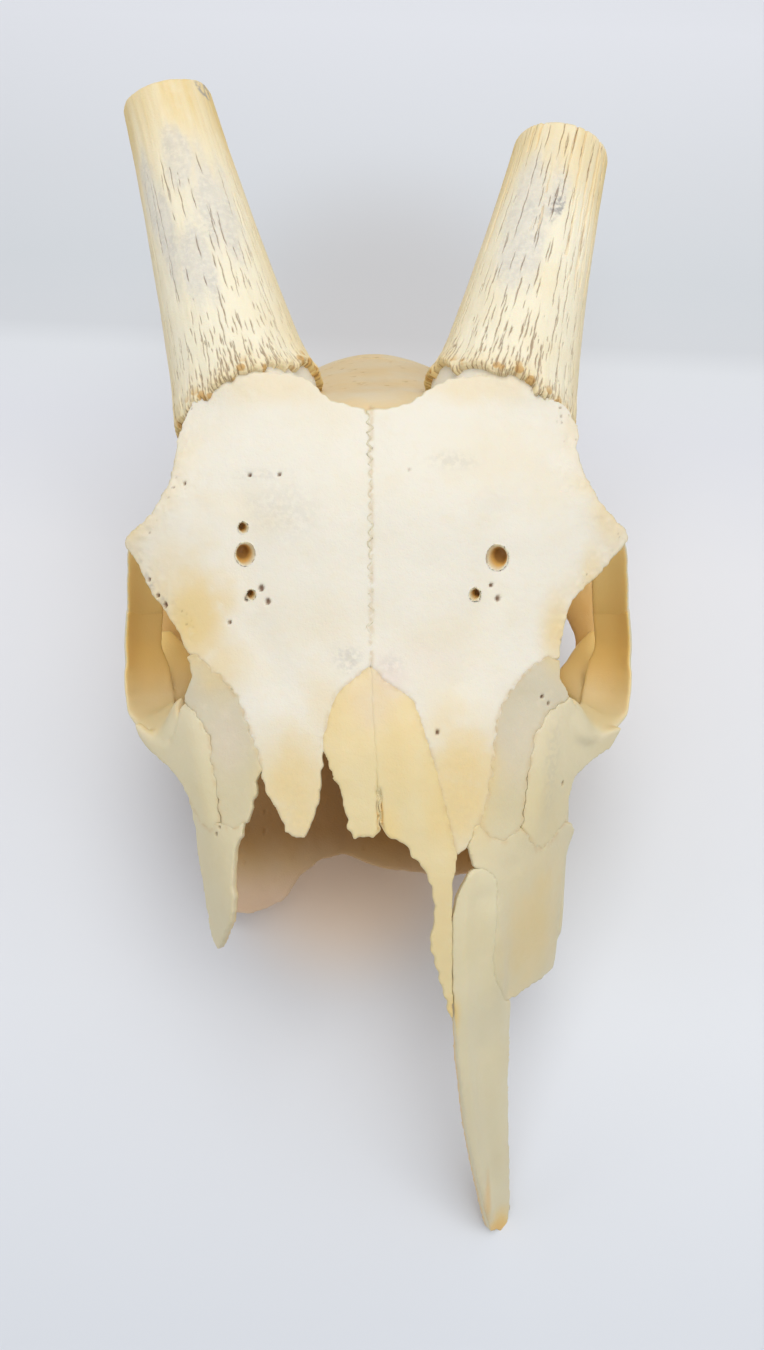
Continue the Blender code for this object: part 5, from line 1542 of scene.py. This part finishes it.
# Patches of the sheet that take the light and the shade of the bones: centre, reach, colour
# and strength, which is full within PATCH_CORE of the centre.
PATCH_CORE = 0.012
PATCHES = (((-0.012, -0.045, 0), 0.065, (255, 234, 210), 0.85),
           ((0.004, 0.245, 0), 0.15, (190, 186, 184), 0.55))
SKY = srgb(238, 240, 245)
SKY_STRENGTH = 0.6
AIM = (0, 0.02, 0.05)    # the point that the softboxes face, in metres
# Each softbox: place, size, watts and colour.
SOFTBOXES = (("top", (0.1, 0.15, 1.3), (1.0, 0.8), 8.5, (1.0, 0.99, 0.97)),
             ("left", (-1.2, -0.3, 0.8), (0.8, 0.8), 2.0, (0.97, 0.98, 1.0)),
             ("right", (1.2, -0.2, 0.9), (0.8, 0.8), 2.4, (1.0, 0.99, 0.97)))


def add_stage():
    """A flat pale sheet with painted light and shade: a slanting fold behind the skull, and patches
    under the bones.
    """
    corners = [(x, y, 0) for y in (-FLOOR_SIZE, FLOOR_SIZE) for x in (-FLOOR_SIZE, FLOOR_SIZE)]
    mesh = bpy.data.meshes.new("floor")
    mesh.from_pydata(corners, [], [[0, 1, 3, 2]])
    floor = bpy.data.objects.new("floor", mesh)
    bpy.context.collection.objects.link(floor)
    net = Wiring("pale_paper", 0.85)
    axes = net.add("SeparateXYZ", {0: net.place}).outputs
    along = net.add("Math", {0: axes["X"], 1: -PAINTED_FOLD_SLANT, 2: axes["Y"]}, "MULTIPLY_ADD").outputs[0]
    near, far = SHEET[0][0], SHEET[-1][0]
    tone = net.add("ValToRGB", {0: net.ramp(along, PAINTED_FOLD + near, PAINTED_FOLD + far, kind="LINEAR")})
    stops = tone.color_ramp.elements
    stops[0].color, stops[1].color = srgb(*SHEET[0][1]), srgb(*SHEET[-1][1])
    for y, shade in SHEET[1:-1]:
        stops.new((y - near) / (far - near)).color = srgb(*shade)
    colour = tone.outputs["Color"]
    for centre, radius, shade, strength in PATCHES:
        away = net.add("VectorMath", {0: net.place, 1: centre}, "DISTANCE").outputs["Value"]
        share = net.ramp(away, PATCH_CORE, radius, 0.0, strength, "SMOOTHERSTEP")
        colour = net.blend(colour, srgb(*shade), share)
    net.feed(net.shader["Base Color"], colour)
    mesh.materials.append(net.material)


def add_light():
    """A pale sky and softboxes above and at the sides."""
    world = bpy.data.worlds.new("studio")
    bpy.context.scene.world = world
    world.use_nodes = True
    background = world.node_tree.nodes["Background"]
    background.inputs["Color"].default_value = SKY
    background.inputs["Strength"].default_value = SKY_STRENGTH
    for name, at, size, watts, colour in SOFTBOXES:
        light = bpy.data.lights.new(name, "AREA")
        light.shape = "RECTANGLE"
        light.size, light.size_y = size
        light.energy = watts
        light.color = colour
        obj = bpy.data.objects.new(name, light)
        bpy.context.collection.objects.link(obj)
        obj.location = at
        aim = Vector(AIM) - Vector(at)
        obj.rotation_euler = aim.to_track_quat("-Z", "Y").to_euler()


def pose():
    return Matrix.Translation([c * MM for c in PLACE]) @ Matrix.Rotation(PITCH, 4, "X")


def add_camera():
    data = bpy.data.cameras.new("camera")
    data.lens = LENS
    data.sensor_width = 36
    data.sensor_fit = "AUTO"
    data.clip_start = 0.01
    camera = bpy.data.objects.new("camera", data)
    bpy.context.collection.objects.link(camera)
    c, s = math.cos(CAMERA_LEAN), math.sin(CAMERA_LEAN)
    turn = Matrix(((1, 0, 0), (0, c, -s), (0, s, c))).to_4x4()
    camera.matrix_world = pose() @ Matrix.Translation([c * MM for c in CAMERA_AT]) @ turn
    bpy.context.scene.camera = camera


def main():
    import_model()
    bpy.context.scene.view_settings.view_transform = "Standard"
    add_stage()
    add_light()
    add_camera()
    bones = build_bones()
    materials = {kind: bone_material(kind) for kind in KINDS}
    for name, obj in bones.items():
        kind = next((kind for kind in KINDS if name.startswith(kind)), "case")
        obj.data.materials.clear()
        obj.data.materials.append(materials[kind])
        obj.data.transform(pose())
        obj.data.shade_smooth()
        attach(obj, "root")
        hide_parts(name)


main()
